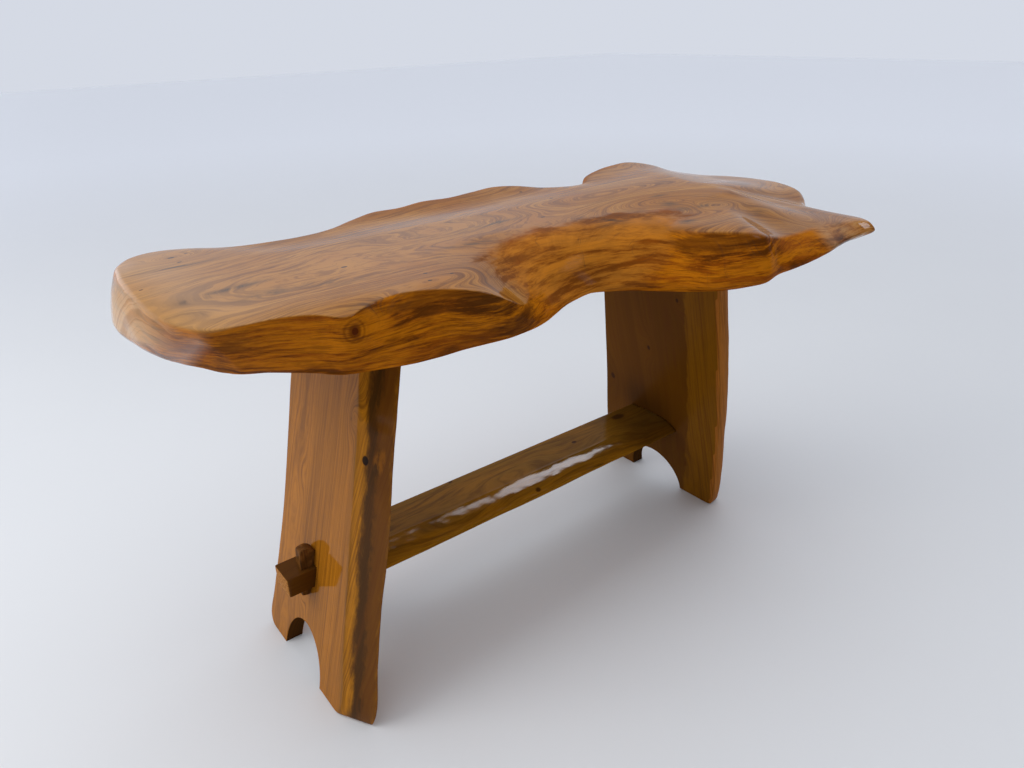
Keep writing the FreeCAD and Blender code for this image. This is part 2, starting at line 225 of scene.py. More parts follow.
right_front_inner_shares = [(0.0, -0.505), (0.024, -0.525), (0.15, -0.575), (0.31, -0.635),
                            (0.46, -0.680), (0.66, -0.715), (1.0, -0.775)]
right_front_outer_shares = [(0.0, -0.485), (0.024, -0.500), (0.15, -0.555), (0.31, -0.610),
                            (0.46, -0.660), (0.66, -0.705), (1.0, -0.750)]
# For each side: edges on the outer face, edges on the inner face, arch width, arch place across,
# middle of the two stub tenons.
leg_boards = {
    LEFT: (left_back_shares, left_front_outer_shares, left_front_inner_shares,
           98 * MM, 2 * MM, 6 * MM),
    RIGHT: (right_back_shares, right_front_outer_shares, right_front_inner_shares,
            106 * MM, 15 * MM, -48 * MM),
}

# Rail and wedges
rail_section_shares = [(0.50, 0.0), (0.50, 1.0), (-0.20, 1.0), (-0.35, 0.91), (-0.47, 0.74),
                       (-0.50, 0.63), (-0.45, 0.48), (-0.25, 0.14), (-0.06, 0.0)]
rail_width = rail_high.y - rail_low.y
rail_thickness = rail_high.z - rail_low.z
rail_stations = 130
rail_lumps = [(1, (9, 28, 28), 5.2), (0.35, (34, 90, 90), 9.9)]
tenon_width = 37 * MM
tenon_height = 25 * MM
tenon_y = legs_middle.y + 9 * MM
tenon_top = rail_high.z
tenon_bottom = tenon_top - tenon_height
tenon_clearance = 0.3 * MM
tenon_stand_out = 33.7 * MM
tenon_bevel = 2.8 * MM
wedge_width = 14 * MM
wedge_length = 60 * MM
wedge_y = tenon_y - 4 * MM
wedge_drop = 14 * MM
wedge_head_thickness = 19 * MM
wedge_tip_thickness = 10 * MM
wedge_clearance = 0.3 * MM
wedge_slot_relief = 3 * MM
wedge_crown = 4 * MM
wedge_ripple = 0.2 * MM
wedge_waves = [(1, (60, 30, 0), 4.4)]


# Settings that a user would change
def colour(name, description, value):
    """A colour setting."""
    return bpy.props.FloatVectorProperty(
        name=name, description=description, subtype="COLOR", size=3, min=0, max=1, default=value)


def length(name, description, value, most):
    """A length setting."""
    return bpy.props.FloatProperty(
        name=name, description=description, unit="LENGTH", min=0, max=most, default=value)


def factor(name, description, value):
    """A setting from 0 to 1."""
    return bpy.props.FloatProperty(
        name=name, description=description, subtype="FACTOR", min=0, max=1, default=value)


class SlabSettings(bpy.types.PropertyGroup):
    """Shape and finish of the slab."""

    flank_ripple: length("Flank ripple", "Height of the lumps on the natural edge", 1.3 * MM, 0.005)
    top_ripple: length("Top ripple", "Height of the sanded waves on the top", 0.25 * MM, 0.002)
    light: colour("Light wood", "Palest bands of the grain", (0.46, 0.200, 0.034))
    middle: colour("Middle wood", "Main colour of the wood", (0.34, 0.125, 0.014))
    dark: colour("Dark wood", "Darkest bands of the grain", (0.125, 0.036, 0.005))
    mineral: colour("Mineral streaks", "Grey-black marks in the grain", (0.055, 0.030, 0.018))
    varnish: factor("Varnish", "Weight of the gloss coat", 1.0)


class LegSettings(bpy.types.PropertyGroup):
    """Shape and finish of the two leg boards."""

    edge_rounding: length("Edge rounding", "Radius of the boards' sanded edges", 0.9 * MM, 0.005)
    face_ripple: length("Face ripple", "Height of the planed waves on the faces", 0.08 * MM, 0.002)
    heart: colour("Heartwood", "Main colour of the boards", (0.38, 0.135, 0.009))
    shade: colour("Dark grain", "Darker grain of the boards", (0.115, 0.036, 0.005))
    sap: colour("Sapwood", "Yellow wood under the bark", (0.25, 0.098, 0.004))


class RailSettings(bpy.types.PropertyGroup):
    """Shape and finish of the rail."""

    edge_rounding: length("Edge rounding", "Radius of the rail's sanded edges", 3.0 * MM, 0.008)
    # The light colour is the bevel's paler wood with a painted reflection of the floor in it.
    light: colour("Light wood", "Paler wood of the front bevel", (0.34, 0.140, 0.008))
    dark: colour("Dark wood", "Darker wood of the top", (0.230, 0.110, 0.012))


class WedgeSettings(bpy.types.PropertyGroup):
    """Shape and finish of the wedges."""

    edge_rounding: length("Edge rounding", "Radius of the wedges' edges", 1.1 * MM, 0.004)
    wood: colour("Wood", "Main colour of the wedges", (0.100, 0.038, 0.008))


class StageSettings(bpy.types.PropertyGroup):
    """Floor, light and background."""

    floor: colour("Floor", "Colour of the floor", (0.76, 0.76, 0.75))
    backdrop: colour("Background", "Colour seen behind the table", (0.665, 0.70, 0.78))
    key_power: bpy.props.FloatProperty(
        name="Key light", description="Power of the soft light on the left", unit="POWER",
        min=0, max=500, default=19)


# Mesh helpers
def smooth_between(points, slopes, run, found, u):
    """Points on the smooth stretches that begin at the found rows, each a share u along its own."""
    return ((2 * u ** 3 - 3 * u ** 2 + 1) * points[found]
            + (u ** 3 - 2 * u ** 2 + u) * run * slopes[found]
            + (3 * u ** 2 - 2 * u ** 3) * points[found + 1]
            + (u ** 3 - u ** 2) * run * slopes[found + 1])


def smooth_closed(points, parameters, places):
    """Points at the places on a smooth closed line that meets the given points."""
    points = np.asarray(points, float)
    knots = np.concatenate([parameters[-2:-1] - 1, parameters, parameters[1:2] + 1])
    around = np.concatenate([points[-1:], points, points[:1], points[1:2]])
    spans = np.diff(knots)[:, None]
    rises = np.diff(around, axis=0) / spans
    slopes = np.zeros_like(around)
    slopes[1:-1] = (rises[:-1] * spans[1:] + rises[1:] * spans[:-1]) / (spans[:-1] + spans[1:])
    found = np.searchsorted(parameters, places, side="right") - 1
    found = np.clip(found, 0, len(points) - 1) + 1
    u = (places - knots[found])[:, None] / spans[found]
    return smooth_between(around, slopes, spans[found], found, u)


def smooth_open(rows, count):
    """Points at even steps along a smooth open line through the rows."""
    points = np.asarray(rows, float)
    knots = np.concatenate([[0], np.cumsum(np.linalg.norm(np.diff(points, axis=0), axis=1))])
    slopes = np.gradient(points, knots, axis=0)
    places = np.linspace(0, knots[-1], count)
    found = np.clip(np.searchsorted(knots, places, side="right") - 1, 0, len(points) - 2)
    run = (knots[found + 1] - knots[found])[:, None]
    return smooth_between(points, slopes, run, found, (places - knots[found])[:, None] / run)


def softened(ring, reach):
    """A closed ring of points with its quick turns smoothed out over some columns."""
    steps = range(-3 * reach, 3 * reach + 1)
    weights = [math.exp(-step * step / (2 * reach * reach)) for step in steps]
    total = sum(np.roll(ring, step, axis=0) * weight for step, weight in zip(steps, weights))
    return total / sum(weights)


def bend(start, corner, end, u):
    """The place a share u along a rounded corner."""
    return start * (1 - u) ** 2 + corner * 2 * u * (1 - u) + end * u ** 2


def rounded_profile(corners, radii, straight_steps, bend_steps):
    """Rings along a profile of corner rings, each bend rounded by its own radius at each column."""
    rings = [corners[0]]
    leave = corners[0]
    for index in range(1, len(corners) - 1):
        corner = corners[index]
        back = corners[index - 1] - corner
        ahead = corners[index + 1] - corner
        radius = radii[index][:, None]
        arrive, depart = (
            corner + way * np.minimum(radius / np.linalg.norm(way, axis=1, keepdims=True), 0.46)
            for way in (back, ahead))
        for step in range(1, straight_steps[index]):
            u = step / straight_steps[index]
            rings.append(leave * (1 - u) + arrive * u)
        for step in range(bend_steps[index] + 1):
            rings.append(bend(arrive, corner, depart, step / bend_steps[index]))
        leave = depart
    for step in range(1, straight_steps[-1] + 1):
        u = step / straight_steps[-1]
        rings.append(leave * (1 - u) + corners[-1] * u)
    return np.array(rings)


def ripple(points, scale, seed):
    """Smooth noise from -1 to 1 at each point, with the scale in waves per metre on each axis."""
    shifted = np.asarray(points) * np.asarray(scale) + seed
    return np.array([noise.noise(Vector(place)) for place in shifted])


def layered(points, layers, seed=0):
    """Several ripples together. Each layer is its share, its waves per metre and its seed."""
    return sum(weight * ripple(points, scale, seed + own) for weight, scale, own in layers)


def grid_normals(grid):
    """Normals of a grid that is closed along its second axis."""
    around = np.roll(grid, -1, axis=1) - np.roll(grid, 1, axis=1)
    normal = np.cross(around, np.gradient(grid, axis=0))
    return normal / np.maximum(np.linalg.norm(normal, axis=2, keepdims=True), TINY)


def outward_of(loop):
    """Directions out of a closed anticlockwise loop, at each of its points."""
    ahead = np.roll(loop, -1, axis=0) - np.roll(loop, 1, axis=0)
    outward = np.stack([ahead[:, 1], -ahead[:, 0]], 1)
    return outward / np.maximum(np.linalg.norm(outward, axis=1, keepdims=True), TINY)


def inside_loop(points, loop):
    """Which points lie inside a closed loop, both in the plane."""
    x, y = points[:, 0], points[:, 1]
    found = np.zeros(len(points), bool)
    for start, end in zip(loop, np.roll(loop, -1, axis=0)):
        crosses = (start[1] > y) != (end[1] > y)
        rise = end[1] - start[1]
        if abs(rise) > TINY:
            found ^= crosses & (x < (end[0] - start[0]) * (y - start[1]) / rise + start[0])
    return found


def inside_first(points, loops):
    """Which points lie inside the first loop and outside the others."""
    found = inside_loop(points, loops[0])
    for loop in loops[1:]:
        found &= ~inside_loop(points, loop)
    return found


def loop_distance(points, loop):
    """Distance from each point to the nearest of a loop's points."""
    return np.sqrt(((points[:, None, :] - loop[None, :, :]) ** 2).sum(2)).min(1)


def filled_face(loops, spacing):
    """Triangles that fill the first loop but not the others, and the inner points they need.
    The triangles' first indices are the loops' points in order, then the inner points."""
    rim = np.concatenate(loops)
    lines = [np.linspace(low, high, max(int((high - low) / spacing), 2))
             for low, high in zip(loops[0].min(0), loops[0].max(0))]
    inner = np.stack(np.meshgrid(*lines), -1).reshape(-1, 2)
    inner = inner[inside_first(inner, loops)]
    inner = inner[loop_distance(inner, rim) > spacing * 0.6]
    edges = []
    first = 0
    for loop in loops:
        count = len(loop)
        edges += [(first + step, first + (step + 1) % count) for step in range(count)]
        first += count
    every = np.concatenate([rim, inner])
    result = geometry.delaunay_2d_cdt([Vector(place) for place in every], edges, [], 0, 1e-9)
    if len(result[0]) != len(every):
        raise RuntimeError("a face's outline crosses itself")
    order = np.array([source[0] for source in result[3]])
    faces = order[np.array(result[2])]
    return faces[inside_first(every[faces].mean(1), loops)], inner


def new_piece(name, points, faces, material, body, slot, **values):
    """A smooth-shaded mesh object that rides on a body; its slot is not used. Each further
    value is a number for every point, which the finish reads by name."""
    mesh = bpy.data.meshes.new(name)
    mesh.from_pydata([tuple(place) for place in points], [], [tuple(map(int, face)) for face in faces])
    for key, numbers in values.items():
        mesh.attributes.new(key, "FLOAT", "POINT").data.foreach_set("value", np.asarray(numbers, "f"))
    mesh.shade_smooth()
    piece = bpy.data.objects.new(name, mesh)
    bpy.context.scene.collection.objects.link(piece)
    piece.data.materials.append(material)
    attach(piece, body)
    return piece


def ring_faces(first, second, count, flip=False):
    """Four-sided faces between two closed rings of the same count."""
    faces = []
    for step in range(count):
        following = (step + 1) % count
        face = (first + step, first + following, second + following, second + step)
        faces.append(face[::-1] if flip else face)
    return faces


class Board:
    """A board between two outlined faces, with rounded edges, holes and slightly uneven faces.
    Places in the outlines are plane coordinates. place(points, depth, fade) puts them in space;
    fade is how much of a face's unevenness each point takes, or None on the edges."""

    def __init__(self, outlines, thickness, place, rounding, depth_steps, spacing):
        self.points = []
        self.flat = []
        self.faces = []
        self.count = 0
        self.thickness = thickness
        self.lining = 0.3 * rounding
        self.place = place
        rings = self.edge_profile(rounding, depth_steps)
        ends = [self.add_edge(rings, *outline) for outline in outlines]
        self.add_face([first for first, _ in ends], 0, spacing, False)
        self.add_face([last for _, last in ends], thickness, spacing, True)

    def edge_profile(self, rounding, depth_steps):
        """Depth and inset of every ring from one face to the other."""
        turns = np.linspace(0, math.pi / 2, 5)
        rounded = [(rounding * (1 - math.cos(turn)), rounding * (1 - math.sin(turn))) for turn in turns]
        between = np.linspace(rounding, self.thickness - rounding, depth_steps + 2)[1:-1]
        return (rounded + [(depth, 0) for depth in between]
                + [(self.thickness - depth, inset) for depth, inset in reversed(rounded)])

    def add_points(self, loop, depth, fade=None):
        """Keeps points in space and in the plane, and returns the index of the first."""
        first = self.count
        self.points.append(self.place(loop, depth, fade))
        self.flat.append(np.column_stack([loop, np.full(len(loop), depth / self.thickness)]))
        self.count += len(loop)
        return first

    def add_edge(self, rings, near, far, swelling, round_share):
        """The edge surface between the two faces along one loop, with its share of the rounding.
        Returns the first and the last ring."""
        placed = []
        for depth, inset in rings:
            u = depth / self.thickness
            loop = near * (1 - u) + far * u
            shift = -inset * round_share
            if swelling is not None:
                shift = swelling(loop, u) + shift
            loop = loop + outward_of(loop) * np.reshape(shift, (-1, 1))
            placed.append((self.add_points(loop, depth), loop))
        for (first, _), (second, _) in zip(placed, placed[1:]):
            self.faces += ring_faces(first, second, len(near))
        return placed[0], placed[-1]

    def add_face(self, rings, depth, spacing, flip):
        """One of the board's two faces, inside the outline and outside the holes."""
        loops = []
        index = []
        for first, loop in rings:
            lined = loop - outward_of(loop) * self.lining
            start = self.add_points(lined, depth)
            self.faces += ring_faces(first, start, len(loop), flip=not flip)
            loops.append(lined)
            index.append(start + np.arange(len(loop)))
        triangles, inner = filled_face(loops, spacing)
        if len(inner):
            fade = np.clip(loop_distance(inner, np.concatenate(loops)) / (3 * spacing), 0, 1)
            index.append(self.add_points(inner, depth, fade) + np.arange(len(inner)))
        for triangle in np.concatenate(index)[triangles]:
            self.faces.append(tuple(triangle) if flip else tuple(triangle[::-1]))

    def all_points(self):
        """Every point of the board, in space."""
        return np.concatenate(self.points)

    def all_faces(self):
        """Every face of the board, facing out."""
        points = self.all_points()
        total = 0.0
        for face in self.faces:
            first, second, third = points[list(face[:3])]
            total += np.dot(first, np.cross(second, third))
            if len(face) == 4:
                total += np.dot(first, np.cross(third, points[face[3]]))
        return self.faces if total > 0 else [face[::-1] for face in self.faces]

    def all_flat(self):
        """Plane place and depth share of every point."""
        return np.concatenate(self.flat)


def rounded_loop(points, radii, steps=5):
    """A closed loop in the plane whose corners with a radius are rounded."""
    points = [np.asarray(place, float) for place in points]
    loop = []
    for index, (corner, radius) in enumerate(zip(points, radii)):
        if radius <= 0:
            loop.append(corner)
            continue
        ways = (points[index - 1] - corner, points[(index + 1) % len(points)] - corner)
        arrive, depart = (corner + way * min(radius / np.linalg.norm(way), 0.49) for way in ways)
        loop += [bend(arrive, corner, depart, step / steps) for step in range(steps + 1)]
    return np.array(loop)


def densely(outline, spacing):
    """A closed outline with more points, about as far apart as the spacing."""
    dense = []
    for start, end in zip(outline, np.roll(outline, -1, axis=0)):
        pieces = max(int(np.linalg.norm(end - start) / spacing), 1)
        dense += [start * (1 - step / pieces) + end * step / pieces for step in range(pieces)]
    return np.array(dense)


def block(low, high, shear=0.0):
    """Points and faces of a plain closed block, leaning along X as it rises."""
    points = []
    for z in (low[2], high[2]):
        lean = shear * (z - low[2])
        points += [(low[0] + lean, low[1], z), (high[0] + lean, low[1], z),
                   (high[0] + lean, high[1], z), (low[0] + lean, high[1], z)]
    faces = [(3, 2, 1, 0), (4, 5, 6, 7), (0, 1, 5, 4), (1, 2, 6, 5), (2, 3, 7, 6), (3, 0, 4, 7)]
    return points, faces


# Slab mesh
def spine_point(place):
    """The nearest point to a place on the line down the slab's middle, seen from above."""
    start = np.array(spine_left_share) * slab_size
    run = np.array(spine_right_share) * slab_size - start
    along = np.clip((place - start).dot(run) / run.dot(run), 0, 1)
    return start + run * along


def slab_corner_rings():
    """The slab's level lines at its rows, with the crest's rounding and the amber's climb there."""
    rings = [[], [], [], [], [], [], []]
    rounding = []
    climbs = []
    for rows, flat_share, crest_round, swelling, climb in edge_stretches:
        for along, across, crest_share, reach_share, rim_share, foot_share in rows:
            plan = np.array([along, across]) * slab_size
            spine = spine_point(plan)
            out = (plan - spine) / np.linalg.norm(plan - spine)
            reach = reach_share * slab_width
            crest = crest_share * slab_thickness
            under_edge = plan + out * (reach - under_lip_inset)
            foot = plan - out * (rim_share * slab_width)
            places = [
                (under_edge - out * under_edge_run, 0),
                (under_edge, 0),
                (plan + out * reach, under_lip_height),
                (plan + out * (reach / 2 + swelling), (under_lip_height + crest) / 2),
                (plan, crest),
                (foot, foot_share * slab_thickness),
                (spine + (foot - spine) * flat_share, slab_thickness),
            ]
            for ring, (flat, height) in zip(rings, places):
                ring.append((*flat, height))
            rounding.append(crest_round)
            climbs.append(climb)
    return np.array(rings) + np.array(slab_middle), np.array(rounding), np.array(climbs)


def slab_mesh(flank_ripple, top_ripple):
    """Points and faces of the slab, with its four blind mortises, and its share of flank wood."""
    corners, rounding, climbs = slab_corner_rings()
    crest = corners[4]
    steps = np.linalg.norm(np.roll(crest, -1, axis=0) - crest, axis=1)
    parameters = np.concatenate([[0], np.cumsum(steps)]) / steps.sum()
    places = np.arange(slab_columns) / slab_columns
    rings = [smooth_closed(ring, parameters, places) for ring in corners]
    crest_round, climb = (smooth_closed(numbers[:, None], parameters, places)[:, 0]
                          for numbers in (rounding, climbs))
    climb = np.clip(softened(climb, 7), 0, 1)
    for middle, reach in soft_hollows:
        away = np.linalg.norm(rings[4][:, :2] - np.array(middle), axis=1) / reach
        soft = np.exp(-away ** 2)[:, None]
        for ring in (1, 2, 3, 4, 5):
            rings[ring] = softened(rings[ring], 9) * soft + rings[ring] * (1 - soft)
    rings[5] = softened(rings[5], 5)
    rings[6] = softened(rings[6], 12)
    same = np.ones(slab_columns)
    radii = [same, 4 * MM * same, 9 * MM * same, 16 * MM * same, crest_round, 18 * MM * same, same]
    straight = [1, 2, 4, 3, 4, 5, 5]
    bends = [1, 4, 6, 6, 7, 7, 1]
    grid = rounded_profile(rings, radii, straight, bends)
    normals = grid_normals(grid)
    lumps = layered(grid.reshape(-1, 3), slab_lumps).reshape(grid.shape[:2])
    height = (grid[:, :, 2] - underside) / slab_thickness
    steep = 1 - np.clip(normals[:, :, 2], 0, 1)
    weight = np.clip(height * 5, 0, 1) * (0.25 + 0.75 * steep)
    ring_share = np.linspace(0, 1, len(grid))[:, None]
    weight = weight * np.clip((1 - ring_share) * 8, 0, 1)
    grid = grid + normals * (flank_ripple * weight * lumps)[:, :, None]
    grid[:2, :, 2] = underside
    waves = layered(grid.reshape(-1, 3), top_waves).reshape(grid.shape[:2])
    grid[:, :, 2] += top_ripple * waves * np.clip((height - 0.85) * 8, 0, 1) * (1 - steep)
    past = np.clip(grid @ np.array(corner_facet_out) - corner_facet_reach, 0, None)
    grid -= past[:, :, None] * np.array(corner_facet_out)

    crest_ring = sum(straight[1:5]) + sum(bends[1:4]) + bends[4] // 2
    below = crest_ring + 2 + 12 * climb[None, :] - np.arange(len(grid))[:, None]
    flank = np.clip(below / (4 + 8 * climb[None, :]), 0, 1).reshape(-1)
    points = [grid.reshape(-1, 3)]
    faces = []
    total = len(grid) * slab_columns
    for ring in range(len(grid) - 1):
        faces += ring_faces(ring * slab_columns, (ring + 1) * slab_columns, slab_columns)

    triangles, inner = filled_face([grid[-1][:, :2]], 10 * MM)
    inner_top = np.column_stack([inner, np.full(len(inner), top_flat)])
    inner_top[:, 2] += top_ripple * layered(inner_top, top_waves)
    index = np.concatenate([total - slab_columns + np.arange(slab_columns),
                            total + np.arange(len(inner))])
    points.append(inner_top)
    total += len(inner)
    faces += [tuple(triangle) for triangle in index[triangles]]

    holes = [mortise_loop(side, middle) for side, middle in stub_places()]
    triangles, inner = filled_face([grid[0][:, :2]] + holes, 40 * MM)
    index = [np.arange(slab_columns)]
    for hole, (side, _) in zip(holes, stub_places()):
        rim = np.column_stack([hole, np.full(4, underside)])
        roof = rim + np.array([-side * stub_height * leg_splay_slope, 0, stub_height + 1 * MM])
        points += [rim, roof]
        index.append(total + np.arange(4))
        faces += ring_faces(total, total + 4, 4, flip=True)
        faces.append(tuple(range(total + 4, total + 8)))
        total += 8
    points.append(np.column_stack([inner, np.full(len(inner), underside)]))
    index = np.concatenate(index + [total + np.arange(len(inner))])
    faces += [tuple(triangle[::-1]) for triangle in index[triangles]]
    points = np.concatenate(points)
    below_top = len(points) - len(flank) - len(inner_top)
    flank = np.concatenate([flank, np.zeros(len(inner_top)), np.ones(below_top)])
    return points, faces, flank


def stub_places():
    """Side and place across of every stub tenon."""
    return [(side, legs_middle.y + leg_boards[side][5] + step * stub_spacing / 2)
            for side in (LEFT, RIGHT) for step in (-1, 1)]


def stub_rectangle(side, middle_y, growth):
    """Low and high corners in plan of a stub tenon where it leaves the leg."""
    middle_x = legs_middle.x + side * (foot_half_span - leg_run / 2 - underside * leg_splay_slope)
    half_run = stub_thickness / leg_splay_cos / 2 + growth
    half_width = stub_width / 2 + growth
    return ((middle_x - half_run, middle_y - half_width), (middle_x + half_run, middle_y + half_width))


def mortise_loop(side, middle_y):
    """The mouth of a blind mortise, seen from above."""
    low, high = stub_rectangle(side, middle_y, stub_clearance)
    return np.array([low, (high[0], low[1]), high, (low[0], high[1])])


# Leg meshes
def leg_outline(back, front, arch_width, arch_y):
    """One face's outline of a leg board, anticlockwise in the plane of Y and height."""
    front_line, back_line = (
        smooth_open([(legs_middle.y + across * leg_width, height * underside)
                     for height, across in rows], count)
        for rows, count in ((front, 190), (back, 90)))
    turns = np.linspace(math.pi, 0, 44)
    arch = np.stack([legs_middle.y + arch_y + arch_width / 2 * np.cos(turns),
                     arch_height * np.sin(turns)], 1)
    top = np.linspace(back_line[-1], front_line[-1], 26)[1:-1]
    front_sole = np.linspace(front_line[0], arch[0], 9)[1:-1]
    back_sole = np.linspace(arch[-1], back_line[0], 9)[1:-1]
    loop = np.concatenate([front_line[::-1], front_sole, arch, back_sole, back_line, top])
    for corner in (len(front_line) - 1, len(loop) - len(top) - len(back_line)):
        soften_corner(loop, corner, 2)
    return loop


def soften_corner(loop, corner, reach):
    """Rounds a corner of a dense loop over a few points each side of it."""
    ids = [corner + step for step in range(-reach, reach + 1)]
    start, tip, end = (loop[index].copy() for index in (ids[0], corner, ids[-1]))
    for number, index in enumerate(ids):
        loop[index] = bend(start, tip, end, number / (2 * reach))


def leg_board(side, settings):
    """Points and faces of one leg board, with the values that its finish reads."""
    back, front_outer, front_inner, arch_width, arch_y, _ = leg_boards[side]
    outer = leg_outline(back, front_outer, arch_width, arch_y)
    inner = leg_outline(back, front_inner, arch_width, arch_y)
    reach = tenon_width / 2 + tenon_clearance
    low, high = tenon_bottom - tenon_clearance, tenon_top + tenon_clearance
    mortise = rounded_loop([(tenon_y - reach, low), (tenon_y - reach, high),
                            (tenon_y + reach, high), (tenon_y + reach, low)], [1 * MM] * 4, 3)
    seed = 11.0 + 5 * side

    def place(points, depth, fade=None):
        level = np.clip(points[:, 1], 0, underside)
        x = foot_half_span - depth / leg_splay_cos - level * leg_splay_slope
        if fade is not None:
            waves = ripple(np.column_stack([points, np.full(len(points), depth)]), leg_waves, seed)
            lift = settings.face_ripple * waves * fade
            x = x + lift if depth < leg_thickness / 2 else x - lift
        return np.column_stack([legs_middle.x + side * x, points[:, 0], level])

    def swelling(loop, u):
        """The bark edge stands out in the middle and is uneven; the rest is nearly straight."""
        spread = np.column_stack([loop, np.full(len(loop), u * leg_thickness)])
        uneven = layered(spread, leg_lumps, seed)
        front = np.clip((legs_middle.y - loop[:, 0]) / (40 * MM), 0, 1)
        above_foot = np.clip(loop[:, 1] / (30 * MM), 0, 1)
        level = above_foot * np.clip((underside - loop[:, 1]) / (9 * MM), 0, 1)
        bark = front * level * (2.2 * MM * math.sin(math.pi * u) + 0.9 * MM * uneven)
        return bark + (1 - front) * level * 0.25 * MM * uneven

    board = Board([(outer, inner, swelling, 1), (mortise, mortise, None, 0.5)],
                  leg_thickness, place, settings.edge_rounding, 13, 9 * MM)
    points = board.all_points()
    place_y, level, depth_share = board.all_flat().T

    def edge_at(rows):
        heights, places = np.array(rows).T
        return np.interp(level, heights * underside, places * leg_width)

    edge = edge_at(front_outer) * (1 - depth_share) + edge_at(front_inner) * depth_share
    from_bark = place_y - legs_middle.y - edge
    on_edge = np.clip(1 - from_bark / (5 * MM), 0, 1)
    bark_share = depth_share * on_edge - (1 - on_edge)
    across = (place_y - legs_middle.y - arch_y) / (arch_width / 2)
    in_arch = np.hypot(across, level / arch_height) < 1.03
    # Arch surfaces that the finish paints near black: end grain, and painted shade in the arch's
    # hollow.
    end_grain_and_painted_arch_shade = (in_arch & (depth_share > 0.03) & (depth_share < 0.97)).astype(float)
    faces = board.all_faces()
    for stub_side, middle_y in stub_places():
        if stub_side == side:
            low, high = stub_rectangle(side, middle_y, 0)
            shear = -side * leg_splay_slope
            more, more_faces = block((*low, underside), (*high, underside + stub_height), shear)
            faces += [tuple(len(points) + corner for corner in face) for face in more_faces]
            points = np.concatenate([points, np.array(more)])
    extra = len(points) - len(from_bark)
    values = {"from_bark": np.append(from_bark, [1.0] * extra),
              "bark_share": np.append(bark_share, [-1.0] * extra),
              "end_grain_and_painted_arch_shade": np.append(end_grain_and_painted_arch_shade, [0.0] * extra)}
    return points, faces, values


# Rail and wedge meshes
def outer_x(side, height):
    """X of a leg's outer face at a height above the floor."""
    return legs_middle.x + side * (foot_half_span - height * leg_splay_slope)


def inner_x(side, height):
    """X of a leg's inner face at a height above the floor."""
    return legs_middle.x + side * (foot_half_span - leg_run - height * leg_splay_slope)


def rail_body(settings):
    """The rail between the legs, with a rounded and uneven front edge."""
    corners = [(legs_middle.y + across * rail_width, rail_low.z + up * rail_thickness)
               for across, up in rail_section_shares]
    radii = [settings.edge_rounding] * 2 + [6 * MM] * 6 + [3 * MM]
    section = densely(rounded_loop(corners, radii, 5), 4 * MM)
    outward = -outward_of(section)
    rings = []
    for station in range(rail_stations + 1):
        u = station / rail_stations
        x = np.array([inner_x(LEFT, z) * (1 - u) + inner_x(RIGHT, z) * u for z in section[:, 1]])
        uneven = layered(np.column_stack([x, section]), rail_lumps)
        front = np.clip((legs_middle.y - section[:, 0]) / (30 * MM), 0.15, 1)
        fade = min(min(u, 1 - u) * rail_stations / 4, 1)
        shift = (front * fade * 0.9 * MM * uneven)[:, None] * outward
        rings.append(np.column_stack([x, section + shift]))
    count = len(section)
    faces = []
    for ring in range(rail_stations):
        faces += ring_faces(ring * count, (ring + 1) * count, count)
    triangles, _ = filled_face([section], 1)
    faces += [tuple(triangle[::-1]) for triangle in triangles]
    faces += [tuple(rail_stations * count + triangle) for triangle in triangles]
    return np.concatenate(rings), faces


def tenon(side):
    """One through tenon of the rail, with its slanting slot for the wedge."""
    stand_out = outer_x(side, tenon_bottom + tenon_height / 2) + side * tenon_stand_out
    root = inner_x(side, tenon_top) - side * 2 * MM
    half = tenon_width / 2
    corners = [(root, tenon_y - half), (stand_out, tenon_y - half),
               (stand_out, tenon_y + half), (root, tenon_y + half)]
    outline = rounded_loop(corners[::side], [0, tenon_bevel, tenon_bevel, 0], 4)
    along, out, tip = wedge_axes(side)
    taper = (wedge_head_thickness - wedge_tip_thickness) / wedge_length
    slot_half = wedge_width / 2 + wedge_clearance

    def slot(height):
        rise = (height - tip[2]) / along[2]
        inside = tip[0] + along[0] * rise - out[0] * wedge_slot_relief
        beyond = wedge_tip_thickness + 2 * wedge_clearance + taper * rise
        outside = tip[0] + along[0] * rise + out[0] * beyond
        near, far = sorted((inside, outside))
        return np.array([(near, wedge_y - slot_half), (near, wedge_y + slot_half),
                         (far, wedge_y + slot_half), (far, wedge_y - slot_half)])

    def place(points, depth, fade=None):
        return np.column_stack([points, np.full(len(points), tenon_top - depth)])

    board = Board([(outline, outline, None, 1), (slot(tenon_top), slot(tenon_bottom), None, 0.2)],
                  tenon_height, place, 1.0 * MM, 5, 6 * MM)
    return board.all_points(), board.all_faces()


def wedge_axes(side):
    """Directions up and straight out of a leg's outer face, and the foot of the wedge on it."""
    along = np.array([-side * leg_splay_sin, 0, leg_splay_cos])
    out = np.array([side * leg_splay_cos, 0, leg_splay_sin])
    height = tenon_bottom - wedge_drop
    tip = np.array([outer_x(side, height), wedge_y, height])
    return along, out, tip


def wedge_mesh(side, settings):
    """A tapered key with a crowned, slightly battered head."""
    along, out, tip = wedge_axes(side)
    head_half = wedge_head_thickness / 2
    head = [(wedge_clearance + head_half + turn * head_half,
             wedge_length + wedge_crown * (1 - turn ** 2)) for turn in np.linspace(1, -1, 9)]
    corners = [(wedge_clearance, 0), (wedge_clearance + wedge_tip_thickness, 0)] + head
    radii = [2 * MM, 2 * MM] + [2.2 * MM] + [0] * 7 + [2.2 * MM]
    outline = densely(rounded_loop(corners, radii, 4), 2.5 * MM)

    def place(points, depth, fade=None):
        y = np.full(len(points), -side * (wedge_width / 2 - depth))
        if fade is not None:
            waves = layered(np.column_stack([points, points[:, :1]]), wedge_waves)
            y = y + wedge_ripple * waves * fade
        return tip + points[:, :1] * out + points[:, 1:] * along + y[:, None] * np.array([0, 1, 0])

    board = Board([(outline, outline, None, 1)], wedge_width, place,
                  settings.edge_rounding, 4, 3 * MM)
    return board.all_points(), board.all_faces()


